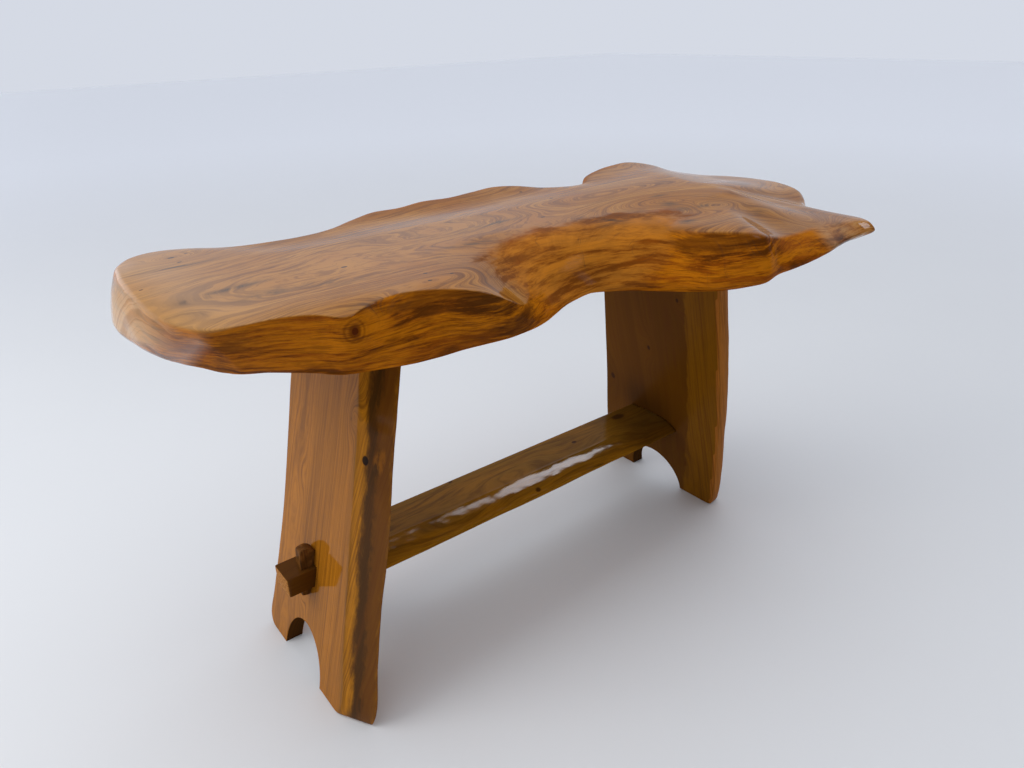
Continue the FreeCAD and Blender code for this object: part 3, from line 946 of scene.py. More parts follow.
# Wood finishes
class Number:
    """A number that the shader nodes work out, which takes part in sums like a plain one."""

    def __init__(self, nodes, socket):
        self.nodes = nodes
        self.socket = socket

    def __add__(self, other):
        return self.nodes.sum("ADD", self, other)

    def __sub__(self, other):
        return self.nodes.sum("SUBTRACT", self, other)

    def __rsub__(self, other):
        return self.nodes.sum("SUBTRACT", other, self)

    def __mul__(self, other):
        return self.nodes.sum("MULTIPLY", self, other)


class Nodes:
    """Adds and joins the nodes of one tree."""

    def __init__(self, tree):
        self.tree = tree

    def add(self, kind, **settings):
        """A new node with its settings."""
        node = self.tree.nodes.new(kind)
        for key, value in settings.items():
            setattr(node, key, value)
        return node

    def feed(self, socket, value):
        """Links a socket, or sets its value."""
        if isinstance(value, Number):
            value = value.socket
        if isinstance(value, bpy.types.NodeSocket):
            self.tree.links.new(value, socket)
        else:
            socket.default_value = value

    def sum(self, operation, *values, clamp=False):
        """A number from a Math node, kept from 0 to 1 where it says clamp."""
        node = self.add("ShaderNodeMath", operation=operation, use_clamp=clamp)
        for socket, value in zip(node.inputs, values):
            self.feed(socket, value)
        return Number(self, node.outputs[0])

    def vector(self, operation, *values):
        """A vector, or a number, from a Vector Math node."""
        node = self.add("ShaderNodeVectorMath", operation=operation)
        for socket, value in zip(node.inputs, values):
            self.feed(socket, value)
        if operation in ("LENGTH", "DISTANCE", "DOT_PRODUCT"):
            return Number(self, node.outputs["Value"])
        return node.outputs["Vector"]

    def join(self, x, y, z):
        """A vector of three numbers."""
        node = self.add("ShaderNodeCombineXYZ")
        for socket, value in zip(node.inputs, (x, y, z)):
            self.feed(socket, value)
        return node.outputs[0]

    def split(self, vector):
        """The three numbers of a vector."""
        node = self.add("ShaderNodeSeparateXYZ")
        self.feed(node.inputs[0], vector)
        return [Number(self, socket) for socket in node.outputs]

    def step(self, value, low, high, before=0.0, after=1.0):
        """One number below low and another above high, smooth between."""
        node = self.add("ShaderNodeMapRange", interpolation_type="SMOOTHSTEP")
        for name, number in (("Value", value), ("From Min", low), ("From Max", high),
                             ("To Min", before), ("To Max", after)):
            self.feed(node.inputs[name], number)
        return Number(self, node.outputs[0])

    def either(self, share, first, second):
        """The first number where the share is 0, the second where it is 1."""
        node = self.add("ShaderNodeMix")
        for index, value in ((0, share), (2, first), (3, second)):
            self.feed(node.inputs[index], value)
        return Number(self, node.outputs[0])


class Finish(Nodes):
    """Joins the shader nodes of one finish. Spots and their sizes are in millimetres."""

    def __init__(self, name):
        self.material = bpy.data.materials.new(name)
        self.material.use_nodes = True
        super().__init__(self.material.node_tree)
        self.shader = self.tree.nodes["Principled BSDF"]
        self.place = self.add("ShaderNodeTexCoord").outputs["Object"]

    def given(self, name):
        """A value that the mesh gives at every point."""
        return Number(self, self.add("ShaderNodeAttribute", attribute_name=name).outputs["Fac"])

    def facing(self):
        """The three numbers of the surface's own direction."""
        return self.split(self.add("ShaderNodeNewGeometry").outputs["Normal"])

    def noise(self, vector, waves, detail=2.0, roughness=0.5, output="Fac"):
        """Smooth noise from 0 to 1 with some waves per metre, on each axis or on all alike."""
        even = isinstance(waves, float)
        node = self.add("ShaderNodeTexNoise")
        self.feed(node.inputs["Vector"], vector if even else self.vector("MULTIPLY", vector, waves))
        node.inputs["Scale"].default_value = waves if even else 1.0
        node.inputs["Detail"].default_value = detail
        node.inputs["Roughness"].default_value = roughness
        return Number(self, node.outputs[output])

    def swayed(self, vector, waves, sway):
        """The vector with slow noise added, as strong on each axis as the sway says."""
        drift = self.vector("SUBTRACT", self.noise(self.place, waves, output="Color"), (0.5, 0.5, 0.5))
        return self.vector("ADD", vector, self.vector("MULTIPLY", drift, sway))

    def blend(self, share, first, second):
        """A colour between two colours."""
        node = self.add("ShaderNodeMix", data_type="RGBA")
        self.feed(node.inputs[0], share)
        for socket, value in ((node.inputs[6], first), (node.inputs[7], second)):
            self.feed(socket, value if isinstance(value, bpy.types.NodeSocket) else (*value, 1))
        return node.outputs[2]

    def near(self, vector, middle, size):
        """1 at a spot, falling smoothly to 0 about its size away on each axis."""
        shifted = self.vector("SUBTRACT", vector, [value * MM for value in middle])
        scaled = self.vector("DIVIDE", shifted, [value * MM for value in size])
        return self.sum("EXPONENT", self.vector("DOT_PRODUCT", scaled, scaled) * -1.0)

    def spots(self, vector, rows):
        """1 at the middle of every spot. Each row is a middle and a size."""
        found = 0.0
        for middle, size in rows:
            found = self.sum("MAXIMUM", found, self.near(vector, middle, size))
        return found

    def turned(self, rings, vector, middle, size, height):
        """The number of the growth rings with a hill or a hollow at a knot."""
        return self.near(vector, middle, size) * (height * MM) + rings

    def raised(self, height, distance, strength):
        """A normal from a height."""
        node = self.add("ShaderNodeBump")
        for name, value in (("Height", height), ("Distance", distance), ("Strength", strength)):
            self.feed(node.inputs[name], value)
        return node.outputs[0]

    def varnish(self, colour_value, roughness, normal, coat, coat_roughness, coat_ior=1.33):
        """Ends the finish with a clear gloss coat."""
        for name, value in (("Base Color", colour_value), ("Roughness", roughness), ("Normal", normal),
                            ("Specular IOR Level", 0.0), ("Coat Weight", coat),
                            ("Coat Roughness", coat_roughness), ("Coat IOR", coat_ior)):
            self.feed(self.shader.inputs[name], value)
        return self.material


# Knots and burrs of the slab: place in millimetres, size in millimetres, how strongly the grain
# turns round them. A negative strength turns the grain the other way.
slab_knots = [
    ((165, -30, 500), 40, 1.3), ((120, -62, 500), 26, -1.4), ((205, -78, 500), 22, 1.5),
    ((130, 62, 500), 34, -0.7), ((-100, 40, 500), 36, 0.45), ((-225, -92, 498), 24, 0.9),
    ((-450, -40, 480), 26, 0.5), ((-325, -127, 477), 12, 2.6), ((-250, -170, 465), 17, 2.4),
    ((20, -110, 470), 45, 1.2), ((240, -190, 470), 32, 1.8), ((320, -150, 480), 28, -1.6),
    ((60, 150, 500), 30, 0.45), ((330, 150, 500), 36, 0.5), ((-390, 140, 500), 16, 1.3),
    ((90, -150, 460), 30, -1.4), ((-350, -110, 470), 40, 1.0), ((400, 20, 480), 32, 0.8),
]
# How far a strong and a weak knot reach along the grain, as a factor on the size.
strong_knot_reach = 1.9
weak_knot_reach = 3.0
# Knots of each leg: place and size in millimetres.
leg_knots = {
    LEFT: [((-330, 90, 250), 12), ((-285, -12, 335), 13), ((-262, -40, 325), 10), ((-345, 60, 90), 11)],
    RIGHT: [((237, 121, 180), 17), ((216, 29, 266), 12), ((191, -42, 364), 10), ((250, 60, 128), 12)],
}
# The left leg's small knot hole in the bark edge, painted near black as dark knot wood and painted
# shade for a hole the mesh lacks, and the orange patch beside it: place and size in millimetres.
bark_hole_painted_shade = ((-292, -42, 301), (3.5, 4.5, 6))
bark_patch = ((-285, -56, 303), (10, 7, 17))
# The right leg's darkening round the rail, partly a stain and partly painted shade where the rail
# meets the leg: place and size in millimetres.
rail_joint_stain_and_painted_shade = ((235, 55, 155), (100, 55, 40))
# Middle of the growth rings across and along, in metres from the leg's middle and inner side.
ring_middles = {LEFT: 0.10, RIGHT: -0.02}
# How pale each leg's heartwood is, as a factor on the chosen colour. The right leg's low factor is
# partly painted shade, for the slab's shadow over that leg.
board_tones_and_painted_shade = {LEFT: 0.98, RIGHT: 0.32}
# Weight and roughness of each leg's coat.
board_coats = {LEFT: (0.5, 0.06), RIGHT: (0.16, 0.30)}
# How far the sapwood reaches from the bark edge, in metres: full, and gone.
sapwood_reach = {LEFT: (-0.002, 0.006), RIGHT: (0.056, 0.061)}
# Bands along the bark edge: from and to as shares of the thickness from the outer face, how far
# the broad and the fine unevenness move them, colour and strength.
bark_bands = {
    LEFT: [(0.02, 0.26, 0.10, 0.0, (0.52, 0.195, 0.010), 0.92),
           (0.24, 0.62, 0.60, 0.24, (0.045, 0.019, 0.005), 0.92),
           (0.56, 0.98, 0.60, 0.24, (0.130, 0.042, 0.006), 0.80)],
    RIGHT: [(0.02, 0.98, 0.10, 0.0, (0.44, 0.150, 0.022), 0.95)],
}
# Dark mineral marks on the top: place and half size along and across, in millimetres.
slab_marks = [
    ((-379, -1), (34, 3.5)), ((-358, -34), (34, 5)), ((-300, -45), (18, 5)), ((-430, -40), (16, 5)),
    ((-418, -8), (14, 4)), ((-293, -115), (26, 4)), ((-405, 103), (46, 2)), ((52, -48), (24, 9)),
    ((158, -42), (12, 6)), ((188, -2), (14, 3)), ((152, -68), (10, 6)), ((186, -72), (14, 4)),
    ((112, -112), (14, 5)), ((-140, -20), (30, 3)), ((-60, 30), (36, 3)), ((250, -120), (16, 4)),
]
# The ringed knot in the front flank: its place in millimetres, and its rings per metre times 2 pi.
flank_knot = (-325, -127, 477)
flank_knot_rings = 1500.0
# The amber wood that runs from the scoop onto the top: middle and half size, in millimetres.
scoop_amber = ((-15, -85, 485), (140, 58, 60))
# Dark stretches of the flank: darker wood, and painted shade such as the band under the far crest.
# Place and half size, in millimetres.
flank_darks_and_painted_shade = [
    ((215, -165, 486), (90, 40, 11)), ((60, -70, 492), (75, 30, 10)),
    ((-150, -175, 462), (45, 30, 14)), ((-60, -95, 470), (60, 30, 8)),
    ((-190, -150, 468), (55, 40, 26)), ((-325, -126, 476), (12, 20, 10)),
    ((330, -150, 455), (30, 30, 10)),
]
# Small knots of the rail: place and size in millimetres.
rail_knots = [((89, 52, 139), (5, 3.5, 5)), ((-115, 81, 139), (4, 2.5, 5)), ((-26, -2, 130), (5, 4, 4)),
              ((196, 66, 139), (14, 8, 6))]
# How far the sanded shoulder of the rail drops over its run across, in metres.
shoulder_drop = 0.015
shoulder_run = 0.020
# Where the gloss coat is thin: place and size in millimetres, and how much of it is gone.
worn_spots = [
    ((180, -40, 500), (200, 160, 100), 0.60), ((-110, -110, 465), (95, 60, 50), 0.80),
    ((440, -195, 465), (35, 35, 40), 0.85), ((0, -100, 480), (90, 40, 30), 0.95),
    ((-460, -20, 488), (26, 170, 34), 0.80),
]
# Pin knots on the top: place and radius in millimetres.
slab_pins = [
    ((-394, 146), 2.6), ((-377, 153), 1.6), ((-392, 123), 2.0), ((-274, -10), 2.6), ((-446, 56), 1.5),
    ((-225, -81), 1.8), ((-233, -102), 1.8), ((-205, -96), 1.6), ((-1, 13), 2.4), ((76, 87), 2.6),
    ((71, 146), 2.0), ((215, -108), 1.8), ((189, -146), 1.6), ((245, -137), 2.0), ((213, -160), 1.6),
]


def slab_finish(settings):
    """Figured slab wood: flowing grain that turns round knots, mineral marks and gloss varnish."""
    f = Finish("slab_gloss_wood")
    warped = f.swayed(f.place, (2.6, 7.0, 7.0), (0.03, 0.045, 0.045))
    warped = f.swayed(warped, (16, 34, 34), (0.004, 0.0055, 0.0055))
    x, y, z = f.split(warped)
    rings = f.vector("LENGTH", f.join(0.0, y - (x * 0.10 + 0.02), z - (x * 0.05 + 0.33)))
    for middle, size, strength in slab_knots:
        reach = strong_knot_reach if abs(strength) >= 1 else weak_knot_reach
        rings = f.turned(rings, warped, middle, (reach * size, size, size), strength * size)
    flow = f.join(rings, x, y * 0.2)
    along, _, level = f.split(f.place)

    bands = f.noise(flow, (70, 2.4, 2), 3.0, 0.55)
    seams = f.noise(flow, (150, 3.2, 3), 5.0, 0.62)
    lines = f.noise(flow, (430, 6, 5), 6.0, 0.72)
    fibre = f.noise(flow, (900, 24, 18), 4.0, 0.75)
    torn = f.noise(flow, (420, 26, 20), 4.0, 0.65)
    patches = f.noise(f.place, 7.0, 4.0, 0.6)
    curl = f.noise(warped, (9, 11, 95), 7.0, 0.70)
    cloud = f.noise(warped, (8, 8, 24), 5.0, 0.65)
    threads = f.noise(warped, (24, 24, 460), 5.0, 0.7)

    wood = f.blend(f.step(bands, 0.30, 0.70), settings.middle, settings.light)
    # The last share paints the top paler towards the left end: a painted reflection for the brighter
    # sheen there.
    for share, tint in ((f.step(patches, 0.45, 0.75) * 0.45, (0.30, 0.085, 0.010)),
                        (f.step(seams, 0.56, 0.66) * 0.55, settings.dark),
                        (f.step(lines, 0.48, 0.60) * 0.55, settings.dark),
                        (f.step(fibre, 0.48, 0.60) * 0.50, settings.dark),
                        (f.step(along, -0.32, -0.47) * 0.38, (0.62, 0.38, 0.17))):
        wood = f.blend(share, wood, tint)

    edge = f.blend(f.step(curl, 0.42, 0.58), (0.52, 0.156, 0.004), (0.28, 0.064, 0.003))
    streak = f.step(curl, 0.52, 0.57) * f.step(cloud, 0.42, 0.54)
    for share, tint in ((f.step(cloud, 0.49, 0.62) * 0.75, (0.125, 0.032, 0.003)),
                        (streak * 0.70, (0.050, 0.013, 0.002)),
                        (f.step(threads, 0.48, 0.60) * 0.50, (0.090, 0.022, 0.002))):
        edge = f.blend(share, edge, tint)
    # Darker wood and painted shade at the flank's dark stretches.
    for middle, size in flank_darks_and_painted_shade:
        shade = f.near(warped, middle, size) * f.step(curl, 0.40, 0.56)
        edge = f.blend(shade * 0.85, edge, (0.060, 0.018, 0.004))
    # The right slope is painted paler: top-like wood there, and painted light for the light it catches
    # as it faces up.
    pale = f.blend(f.step(threads, 0.45, 0.62), (0.52, 0.27, 0.085), (0.36, 0.15, 0.035))
    right_slope_painted_light = f.step(along, 0.285, 0.330) * f.step(cloud, 0.62, 0.46)
    edge = f.blend(right_slope_painted_light * 0.75, edge, pale)
    # The left end's upper face is painted pale: pale end grain, and painted light for the brightness it
    # catches from the left.
    end_rings = f.step(f.noise(flow, (260, 5, 5), 3.0, 0.5), 0.50, 0.62)
    pale_end_and_painted_light = f.blend(end_rings * 0.5, (0.72, 0.46, 0.23), (0.30, 0.13, 0.035))
    left_end_painted_light = f.step(along, -0.440, -0.470) * (f.step(y * 0.12 + level, 0.448, 0.462) * 0.92)
    edge = f.blend(left_end_painted_light, edge, pale_end_and_painted_light)
    border = (curl - 0.5) * 0.9 + (f.near(f.place, *scoop_amber) - 0.04)
    scoop = f.step(border, 0.22, 0.44) * 0.88
    golden = f.blend(f.step(curl, 0.44, 0.60), (0.52, 0.19, 0.024), (0.22, 0.058, 0.006))
    edge = f.blend(scoop * 0.65, edge, golden)
    flank = f.sum("MAXIMUM", f.given("flank"), scoop)
    wood = f.blend(flank * 0.92, wood, edge)

    from_knot = f.vector("DISTANCE", warped, [value * MM for value in flank_knot])
    knot = f.sum("SINE", from_knot * flank_knot_rings) * 0.20 + 0.30
    knot = knot * f.step(from_knot, 0.016, 0.007)
    knot = f.sum("ADD", knot, f.step(from_knot, 0.006, 0.002), clamp=True)
    wood = f.blend(knot, wood, (0.085, 0.016, 0.002))

    marks = f.spots(warped, [((*middle, top_flat / MM), (half_along, 1.6 * half_across, 20))
                             for middle, (half_along, half_across) in slab_marks])
    wood = f.blend(marks * f.step(torn, 0.38, 0.58) * 0.85, wood, settings.mineral)
    stray = f.step(torn, 0.60, 0.72) * f.step(patches, 0.48, 0.60)
    wood = f.blend(stray * 0.55, wood, settings.mineral)
    pins = f.spots(f.place, [((*middle, top_flat / MM), (1.6 * radius, radius, 10))
                             for middle, radius in slab_pins])
    pins = f.step(pins, 0.35, 0.7)
    wood = f.blend(pins * 0.9, wood, (0.030, 0.010, 0.005))

    normal = f.raised(fibre * 0.25 - pins * 2.0, 0.4 * MM, 0.35)
    inward = f.step(along, -0.440, -0.425) * f.step(along, 0.33, 0.29)
    worn = flank * inward * 0.93
    for middle, size, share in worn_spots:
        worn = f.sum("MAXIMUM", worn, f.near(f.place, middle, size) * share)
    coat = (1.0 - worn) * settings.varnish
    return f.varnish(wood, lines * 0.25 + 0.35, normal, coat, 0.06)


def board_finish(name, settings, side):
    """Straight-grained board: heartwood with sapwood and dark streaks towards the bark edge."""
    f = Finish(name)
    warped = f.swayed(f.place, (4.0, 5.0, 1.6), (0.008, 0.018, 0.014))
    warped = f.swayed(warped, (30, 30, 9), (0.002, 0.002, 0.002))
    x, y, z = f.split(warped)
    depth = z * (side * leg_splay_slope) + x - (legs_middle.x + side * (foot_half_span - 0.10))
    rings = f.vector("LENGTH", f.join(depth, y - ring_middles[side], 0.0))
    for middle, size in leg_knots[side]:
        rings = f.turned(rings, warped, middle, (size, size, 2.2 * size), 1.1 * size)
    flow = f.join(rings, z, y * 0.2)
    bands = f.noise(flow, (120, 2.2, 2), 3.0, 0.55)
    lines = f.noise(flow, (640, 4, 6), 5.0, 0.70)
    fibre = f.noise(flow, (2400, 45, 40), 2.0, 0.6)
    uneven = f.noise(f.place, (45, 45, 11), 5.0, 0.7)
    ragged = f.noise(f.place, (260, 260, 22), 4.0, 0.7)
    # Heartwood tone of each leg; the right leg's is partly painted shade.
    heart, pale = ([channel * board_tones_and_painted_shade[side] * gain for channel in settings.heart]
                   for gain in (1, 1.25))
    wood = f.blend(f.step(bands, 0.35, 0.65), heart, pale)

    full, gone = sapwood_reach[side]
    sapwood = f.step(f.given("from_bark") + (uneven * 0.026 - 0.013), gone, full)
    wood = f.blend(sapwood * 0.85, wood, settings.sap)
    bark_share = f.given("bark_share")
    for low, high, broad, fine, tint, strength in bark_bands[side]:
        shifted = uneven * broad + bark_share + (ragged - 0.5) * fine - broad / 2
        band = f.step(shifted, low - 0.10, low + 0.13) * f.step(shifted, high + 0.15, high - 0.13)
        wood = f.blend(band * strength, wood, tint)
    end_grain_and_painted_arch_shade = f.given("end_grain_and_painted_arch_shade")
    core = f.spots(warped, [(middle, (0.42 * size, 0.30 * size, 0.42 * size))
                            for middle, size in leg_knots[side]])
    # The arch is painted near black: darker end grain and painted shade in its hollow.
    shares = [(end_grain_and_painted_arch_shade * 0.92, (0.030, 0.014, 0.007)),
              (f.step(lines, 0.42, 0.66) * 0.62, settings.shade),
              (f.step(fibre, 0.42, 0.75) * 0.34, settings.shade),
              (f.step(core, 0.30, 0.75) * 0.85, (0.040, 0.013, 0.005))]
    if side == LEFT:
        patch = f.near(warped, *bark_patch) * (ragged * 2.4 - 0.4)
        # The knot hole is painted near black, partly painted shade for a hole that has no depth.
        hole = f.step(f.near(f.place, *bark_hole_painted_shade), 0.30, 0.55)
        shares += [(f.step(patch, 0.25, 0.70) * 0.80, (0.26, 0.085, 0.006)),
                   (hole * 0.95, (0.010, 0.004, 0.002))]
    else:
        # Darkening round the rail joint: a stain and painted shade where the rail meets the leg.
        shares.append((f.near(f.place, *rail_joint_stain_and_painted_shade) * 0.6, (0.040, 0.014, 0.004)))
    for share, tint in shares:
        wood = f.blend(share, wood, tint)
    normal = f.raised(fibre * 0.4 + lines * 0.3, 0.3 * MM, 0.4)
    weight, coat_roughness = board_coats[side]
    return f.varnish(wood, lines * 0.20 + 0.12, normal, (1.0 - end_grain_and_painted_arch_shade) * weight, coat_roughness)


def rail_finish(settings):
    """Olive-brown top, paler front bevel with a painted reflection, painted shade at the right end."""
    f = Finish("rail_gloss_wood")
    x, y, z = f.split(f.swayed(f.place, (3.0, 9.0, 9.0), (0.02, 0.03, 0.03)))
    flow = f.join(f.vector("LENGTH", f.join(0.0, y - 0.02, z - 0.02)), x, y * 0.2)
    bands = f.noise(flow, (130, 4, 2), 3.0, 0.55)
    lines = f.noise(flow, (560, 9, 6), 4.0, 0.65)
    fibre = f.noise(flow, (2400, 55, 40), 2.0, 0.6)
    along, across, level = f.split(f.place)
    facing_x, facing_y, _ = f.facing()
    # The front bevel, picked by the way the surface faces, takes the light wood: paler wood, and a
    # painted reflection of the bright floor.
    front = f.step(facing_y, -0.15, -0.80)
    pale_share_with_painted_reflection = f.sum("ADD", f.step(bands, 0.35, 0.65) * 0.55, front, clamp=True)
    wood = f.blend(pale_share_with_painted_reflection, settings.dark, settings.light)
    tenons = f.step(f.sum("ABSOLUTE", along - legs_middle.x), 0.296, 0.300)
    ends = f.step(f.sum("ABSOLUTE", facing_x), 0.60, 0.85) * tenons
    specks = f.noise(f.place, 400.0, 3.0, 0.6)
    pale_end = f.blend(f.step(specks, 0.40, 0.65), (0.50, 0.215, 0.050), (0.28, 0.100, 0.018))
    core = f.spots(f.place, rail_knots)
    # The third share paints the rail darker towards its right end: painted shade where it meets the
    # leg.
    for share, tint in ((f.step(lines, 0.44, 0.66) * 0.55, (0.075, 0.028, 0.005)),
                        (f.step(fibre, 0.42, 0.75) * 0.32, (0.075, 0.028, 0.005)),
                        (f.step(along, 0.13, 0.20) * 0.65, (0.050, 0.020, 0.004)),
                        (tenons * 0.85, (0.078, 0.025, 0.005)),
                        (ends * 0.9, pale_end),
                        (f.step(core, 0.25, 0.75) * 0.85, (0.035, 0.012, 0.004))):
        wood = f.blend(share, wood, tint)
    normal = f.raised(fibre * 0.4, 0.3 * MM, 0.4)

    swerve = f.noise(f.place, (9, 14, 14), 3.0, 0.55)
    forward = swerve * 0.010 + (across - (legs_middle.y + 0.005))
    share_up = f.sum("DIVIDE", forward + 0.033, shoulder_run, clamp=True)
    fine = f.noise(f.place, (50, 220, 220), 3.0, 0.6) * (0.20 * MM)
    f.feed(f.shader.inputs["Coat Normal"], f.raised(share_up * shoulder_drop + fine, 1.0, 1.0))
    shoulder = f.step(forward, -0.037, -0.031) * f.step(forward, -0.009, -0.014)
    shoulder = shoulder * (f.step(along, -0.20, 0.05) * 0.7 + 0.3)
    coat = (1.0 - tenons * 0.6) * (shoulder * 0.76 + 0.24)
    coat = coat * f.sum("MAXIMUM", tenons, f.step(level, 0.127, 0.134))
    return f.varnish(wood, lines * 0.25 + 0.32, normal, coat, 0.12, 1.5)


def wedge_finish(settings):
    """Dark end-grained key."""
    f = Finish("wedge_wood")
    x, y, z = f.split(f.place)
    streaks = f.noise(f.join(x + y, z * 0.05, y), (700, 700, 500), 3.0, 0.6)
    patches = f.noise(f.place, 90.0, 3.0, 0.6)
    pale = [min(channel * 2.0, 1) for channel in settings.wood]
    wood = f.blend(f.step(patches, 0.35, 0.7), settings.wood, pale)
    wood = f.blend(f.step(streaks, 0.45, 0.65) * 0.6, wood, (0.035, 0.014, 0.006))
    normal = f.raised(streaks + patches, 0.3 * MM, 0.5)
    return f.varnish(wood, patches * 0.3 + 0.35, normal, 0.15, 0.2)


# Operators
class TABLE_OT_slab(bpy.types.Operator):
    """Build the live-edge slab"""

    bl_idname = "trestle_table.slab"
    bl_label = "Slab"

    def execute(self, context):
        settings = context.scene.trestle_slab
        points, faces, flank = slab_mesh(settings.flank_ripple, settings.top_ripple)
        piece = new_piece("live_edge_slab", points, faces, slab_finish(settings), "table", "slab_wood",
                          flank=flank)
        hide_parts("tabletop_slab")
        return {"FINISHED"}


class TABLE_OT_legs(bpy.types.Operator):
    """Build the two leg boards"""

    bl_idname = "trestle_table.legs"
    bl_label = "Leg boards"

    def execute(self, context):
        settings = context.scene.trestle_legs
        for side, node in ((LEFT, "left_leg"), (RIGHT, "right_leg")):
            points, faces, values = leg_board(side, settings)
            finish = board_finish(node + "_wood", settings, side)
            piece = new_piece(node + "_board", points, faces, finish, "table", "leg_wood",
                              **values)
            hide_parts(node)
        return {"FINISHED"}


class TABLE_OT_rail(bpy.types.Operator):
    """Build the rail with its two through tenons"""

    bl_idname = "trestle_table.rail"
    bl_label = "Rail"

    def execute(self, context):
        settings = context.scene.trestle_rail
        points, faces = rail_body(settings)
        for side in (LEFT, RIGHT):
            more, more_faces = tenon(side)
            faces = faces + [tuple(len(points) + corner for corner in face) for face in more_faces]
            points = np.concatenate([points, more])
        piece = new_piece("wedged_rail", points, faces, rail_finish(settings), "table", "rail_wood")
        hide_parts("stretcher_rail")
        return {"FINISHED"}


class TABLE_OT_wedges(bpy.types.Operator):
    """Build the two wedges"""

    bl_idname = "trestle_table.wedges"
    bl_label = "Wedges"

    def execute(self, context):
        settings = context.scene.trestle_wedges
        finish = wedge_finish(settings)
        for side, node, body in ((LEFT, "left_wedge", "left_key"), (RIGHT, "right_wedge", "right_key")):
            points, faces = wedge_mesh(side, settings)
            piece = new_piece(node + "_key", points, faces, finish, body, "wedge_wood")
            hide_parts(node)
        return {"FINISHED"}


# Stage
floor_half = 12
# Which way the room is pale, as seen in the light and in the varnish.
pale_side = (0.20, 0.85, 0.35)
# Bright windows that the varnish mirrors: direction, where their edge begins and ends, strength.
room_windows = [
    ((0.579, -0.551, 0.600), 0.965, 0.992, 10.0),
    ((-0.37, 0.92, 0.12), 0.86, 0.97, 1.7),
]
# Soft lamps: name, place, what they face, width and share of the chosen power.
room_lamps = [
    ("left_window", (-2.0, 0.7, 1.7), (0, 0, 0.3), 1.6, 1.0),
    ("overhead", (-0.3, -0.6, 2.6), (0, 0, 0.4), 2.2, 0.6),
]
# The photograph's camera: tilt down, turn and roll in degrees, place from the legs' middle, and
# its lens and sensor in millimetres.
camera_angles = (25.694, 52.792, -1.610)
camera_place = (-547.1 * MM, -719.1 * MM, 714.3 * MM)
camera_lens = 26.657
camera_sensor = 36


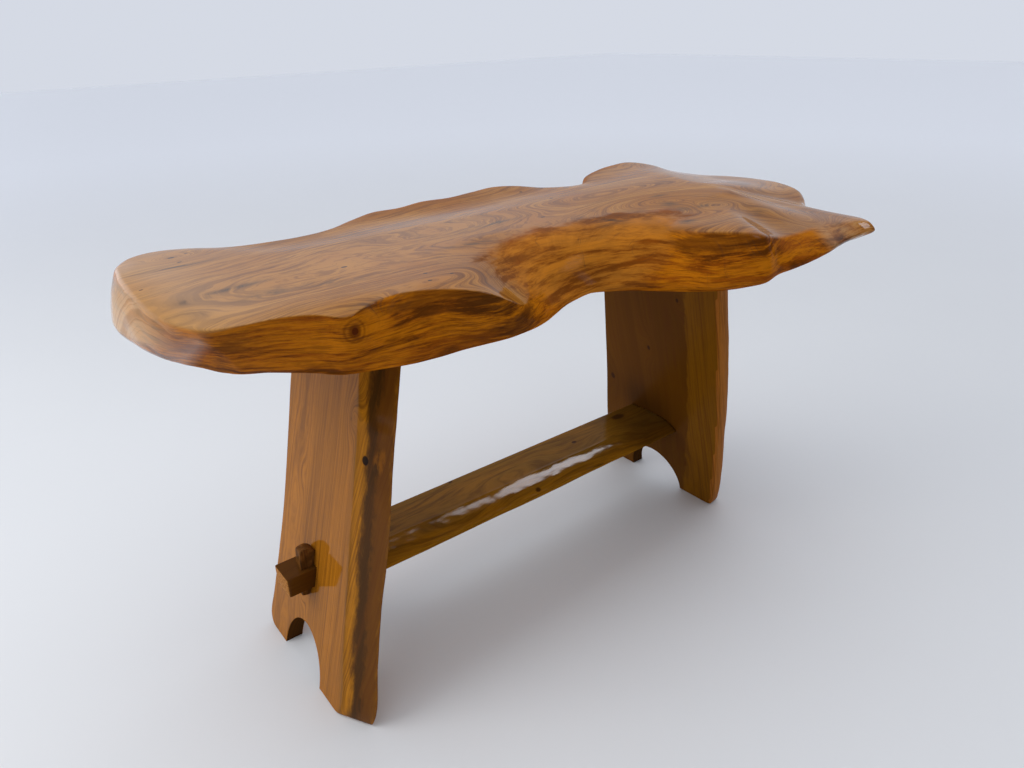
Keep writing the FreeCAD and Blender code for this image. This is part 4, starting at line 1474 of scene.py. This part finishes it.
class TABLE_OT_stage(bpy.types.Operator):
    """Set up the floor, the light and the camera"""

    bl_idname = "trestle_table.stage"
    bl_label = "Stage"

    def execute(self, context):
        settings = context.scene.trestle_stage
        context.scene.view_settings.view_transform = "Standard"
        self.floor(context, settings)
        self.background(context, settings)
        self.lamps(context, settings)
        self.camera(context)
        return {"FINISHED"}

    def floor(self, context, settings):
        """A wide pale floor."""
        mesh = bpy.data.meshes.new("pale_floor")
        corners = [(x * floor_half, y * floor_half, 0) for x, y in ((-1, -1), (1, -1), (1, 1), (-1, 1))]
        mesh.from_pydata(corners, [], [(0, 1, 2, 3)])
        floor = bpy.data.objects.new("pale_floor", mesh)
        context.scene.collection.objects.link(floor)
        f = Finish("floor_paint")
        darker = [channel * 0.97 for channel in settings.floor]
        paint = f.blend(f.noise(f.place, 3.0, 3.0), darker, settings.floor)
        # Paler far off: painted light that evens out the lamps' fall-off towards the horizon.
        far = f.step(f.vector("LENGTH", f.place), 1.0, 5.0)
        f.feed(f.shader.inputs["Base Color"], f.blend(far, paint, (0.93, 0.94, 0.96)))
        f.shader.inputs["Roughness"].default_value = 0.55
        floor.data.materials.append(f.material)

    def background(self, context, settings):
        """Even to the eye; in the light and in the varnish it is paler behind than in front."""
        world = bpy.data.worlds.new("pale_room")
        context.scene.world = world
        world.use_nodes = True
        room = Nodes(world.node_tree)
        direction = room.add("ShaderNodeTexCoord").outputs["Generated"]
        lean = room.vector("DOT_PRODUCT", direction, pale_side)
        shine = room.step(lean, -0.1, 0.5, 0.04, 0.88)
        for toward, low, high, strength in room_windows:
            near = room.vector("DOT_PRODUCT", direction, toward)
            shine = shine + room.step(near, low, high, 0, strength)
        path = room.add("ShaderNodeLightPath").outputs
        level = room.either(path["Is Glossy Ray"], room.step(lean, -0.6, 0.6, 0.42, 1.35), shine)
        level = room.either(path["Is Camera Ray"], level, 1.0)
        ground = room.tree.nodes["Background"]
        ground.inputs["Color"].default_value = (*settings.backdrop, 1)
        room.feed(ground.inputs["Strength"], level)

    def lamps(self, context, settings):
        """A large soft lamp on the left and a weaker one overhead."""
        for name, place, aim, size, share_of_power in room_lamps:
            data = bpy.data.lights.new(name, "AREA")
            data.size = size
            data.energy = settings.key_power * share_of_power
            lamp = bpy.data.objects.new(name, data)
            lamp.location = place
            lamp.rotation_euler = (Vector(aim) - Vector(place)).to_track_quat("-Z", "Y").to_euler()
            lamp.visible_glossy = False
            context.scene.collection.objects.link(lamp)

    def camera(self, context):
        """The eye of the photograph."""
        pitch, yaw, roll = (math.radians(angle) for angle in camera_angles)
        ahead = Vector((math.cos(yaw) * math.cos(pitch), math.sin(yaw) * math.cos(pitch),
                        -math.sin(pitch)))
        level = Vector((math.sin(yaw), -math.cos(yaw), 0))
        rise = level.cross(ahead)
        right = level * math.cos(roll) + rise * math.sin(roll)
        up = rise * math.cos(roll) - level * math.sin(roll)
        data = bpy.data.cameras.new("photo_camera")
        data.sensor_width = camera_sensor
        data.lens = camera_lens
        camera = bpy.data.objects.new("photo_camera", data)
        turn = Matrix((right, up, -ahead)).transposed().to_4x4()
        camera.matrix_world = Matrix.Translation(legs_middle + Vector(camera_place)) @ turn
        context.scene.collection.objects.link(camera)
        context.scene.camera = camera


# One row for each box of the panel: title, the scene's settings, their kind and the operator.
PANEL_ROWS = [
    ("Slab", "trestle_slab", SlabSettings, TABLE_OT_slab),
    ("Legs", "trestle_legs", LegSettings, TABLE_OT_legs),
    ("Rail", "trestle_rail", RailSettings, TABLE_OT_rail),
    ("Wedges", "trestle_wedges", WedgeSettings, TABLE_OT_wedges),
    ("Stage", "trestle_stage", StageSettings, TABLE_OT_stage),
]


class TABLE_PT_panel(bpy.types.Panel):
    """The table's settings and its operators"""

    bl_idname = "TABLE_PT_panel"
    bl_label = "Trestle table"
    bl_space_type = "VIEW_3D"
    bl_region_type = "UI"
    bl_category = "Trestle table"

    def draw(self, context):
        for title, name, _, operator in PANEL_ROWS:
            box = self.layout.box()
            box.label(text=title)
            settings = getattr(context.scene, name)
            for key in settings.__annotations__:
                box.prop(settings, key)
            box.operator(operator.bl_idname)


def register():
    """Adds the settings, the operators and the panel."""
    for _, name, group, operator in PANEL_ROWS:
        bpy.utils.register_class(group)
        setattr(bpy.types.Scene, name, bpy.props.PointerProperty(type=group))
        bpy.utils.register_class(operator)
    bpy.utils.register_class(TABLE_PT_panel)


def unregister():
    """Takes them away again."""
    bpy.utils.unregister_class(TABLE_PT_panel)
    for _, name, group, operator in reversed(PANEL_ROWS):
        bpy.utils.unregister_class(operator)
        delattr(bpy.types.Scene, name)
        bpy.utils.unregister_class(group)


def main():
    """Builds the whole table."""
    register()
    bpy.ops.trestle_table.stage()
    bpy.ops.trestle_table.slab()
    bpy.ops.trestle_table.legs()
    bpy.ops.trestle_table.rail()
    bpy.ops.trestle_table.wedges()


if __name__ == "__main__":
    main()
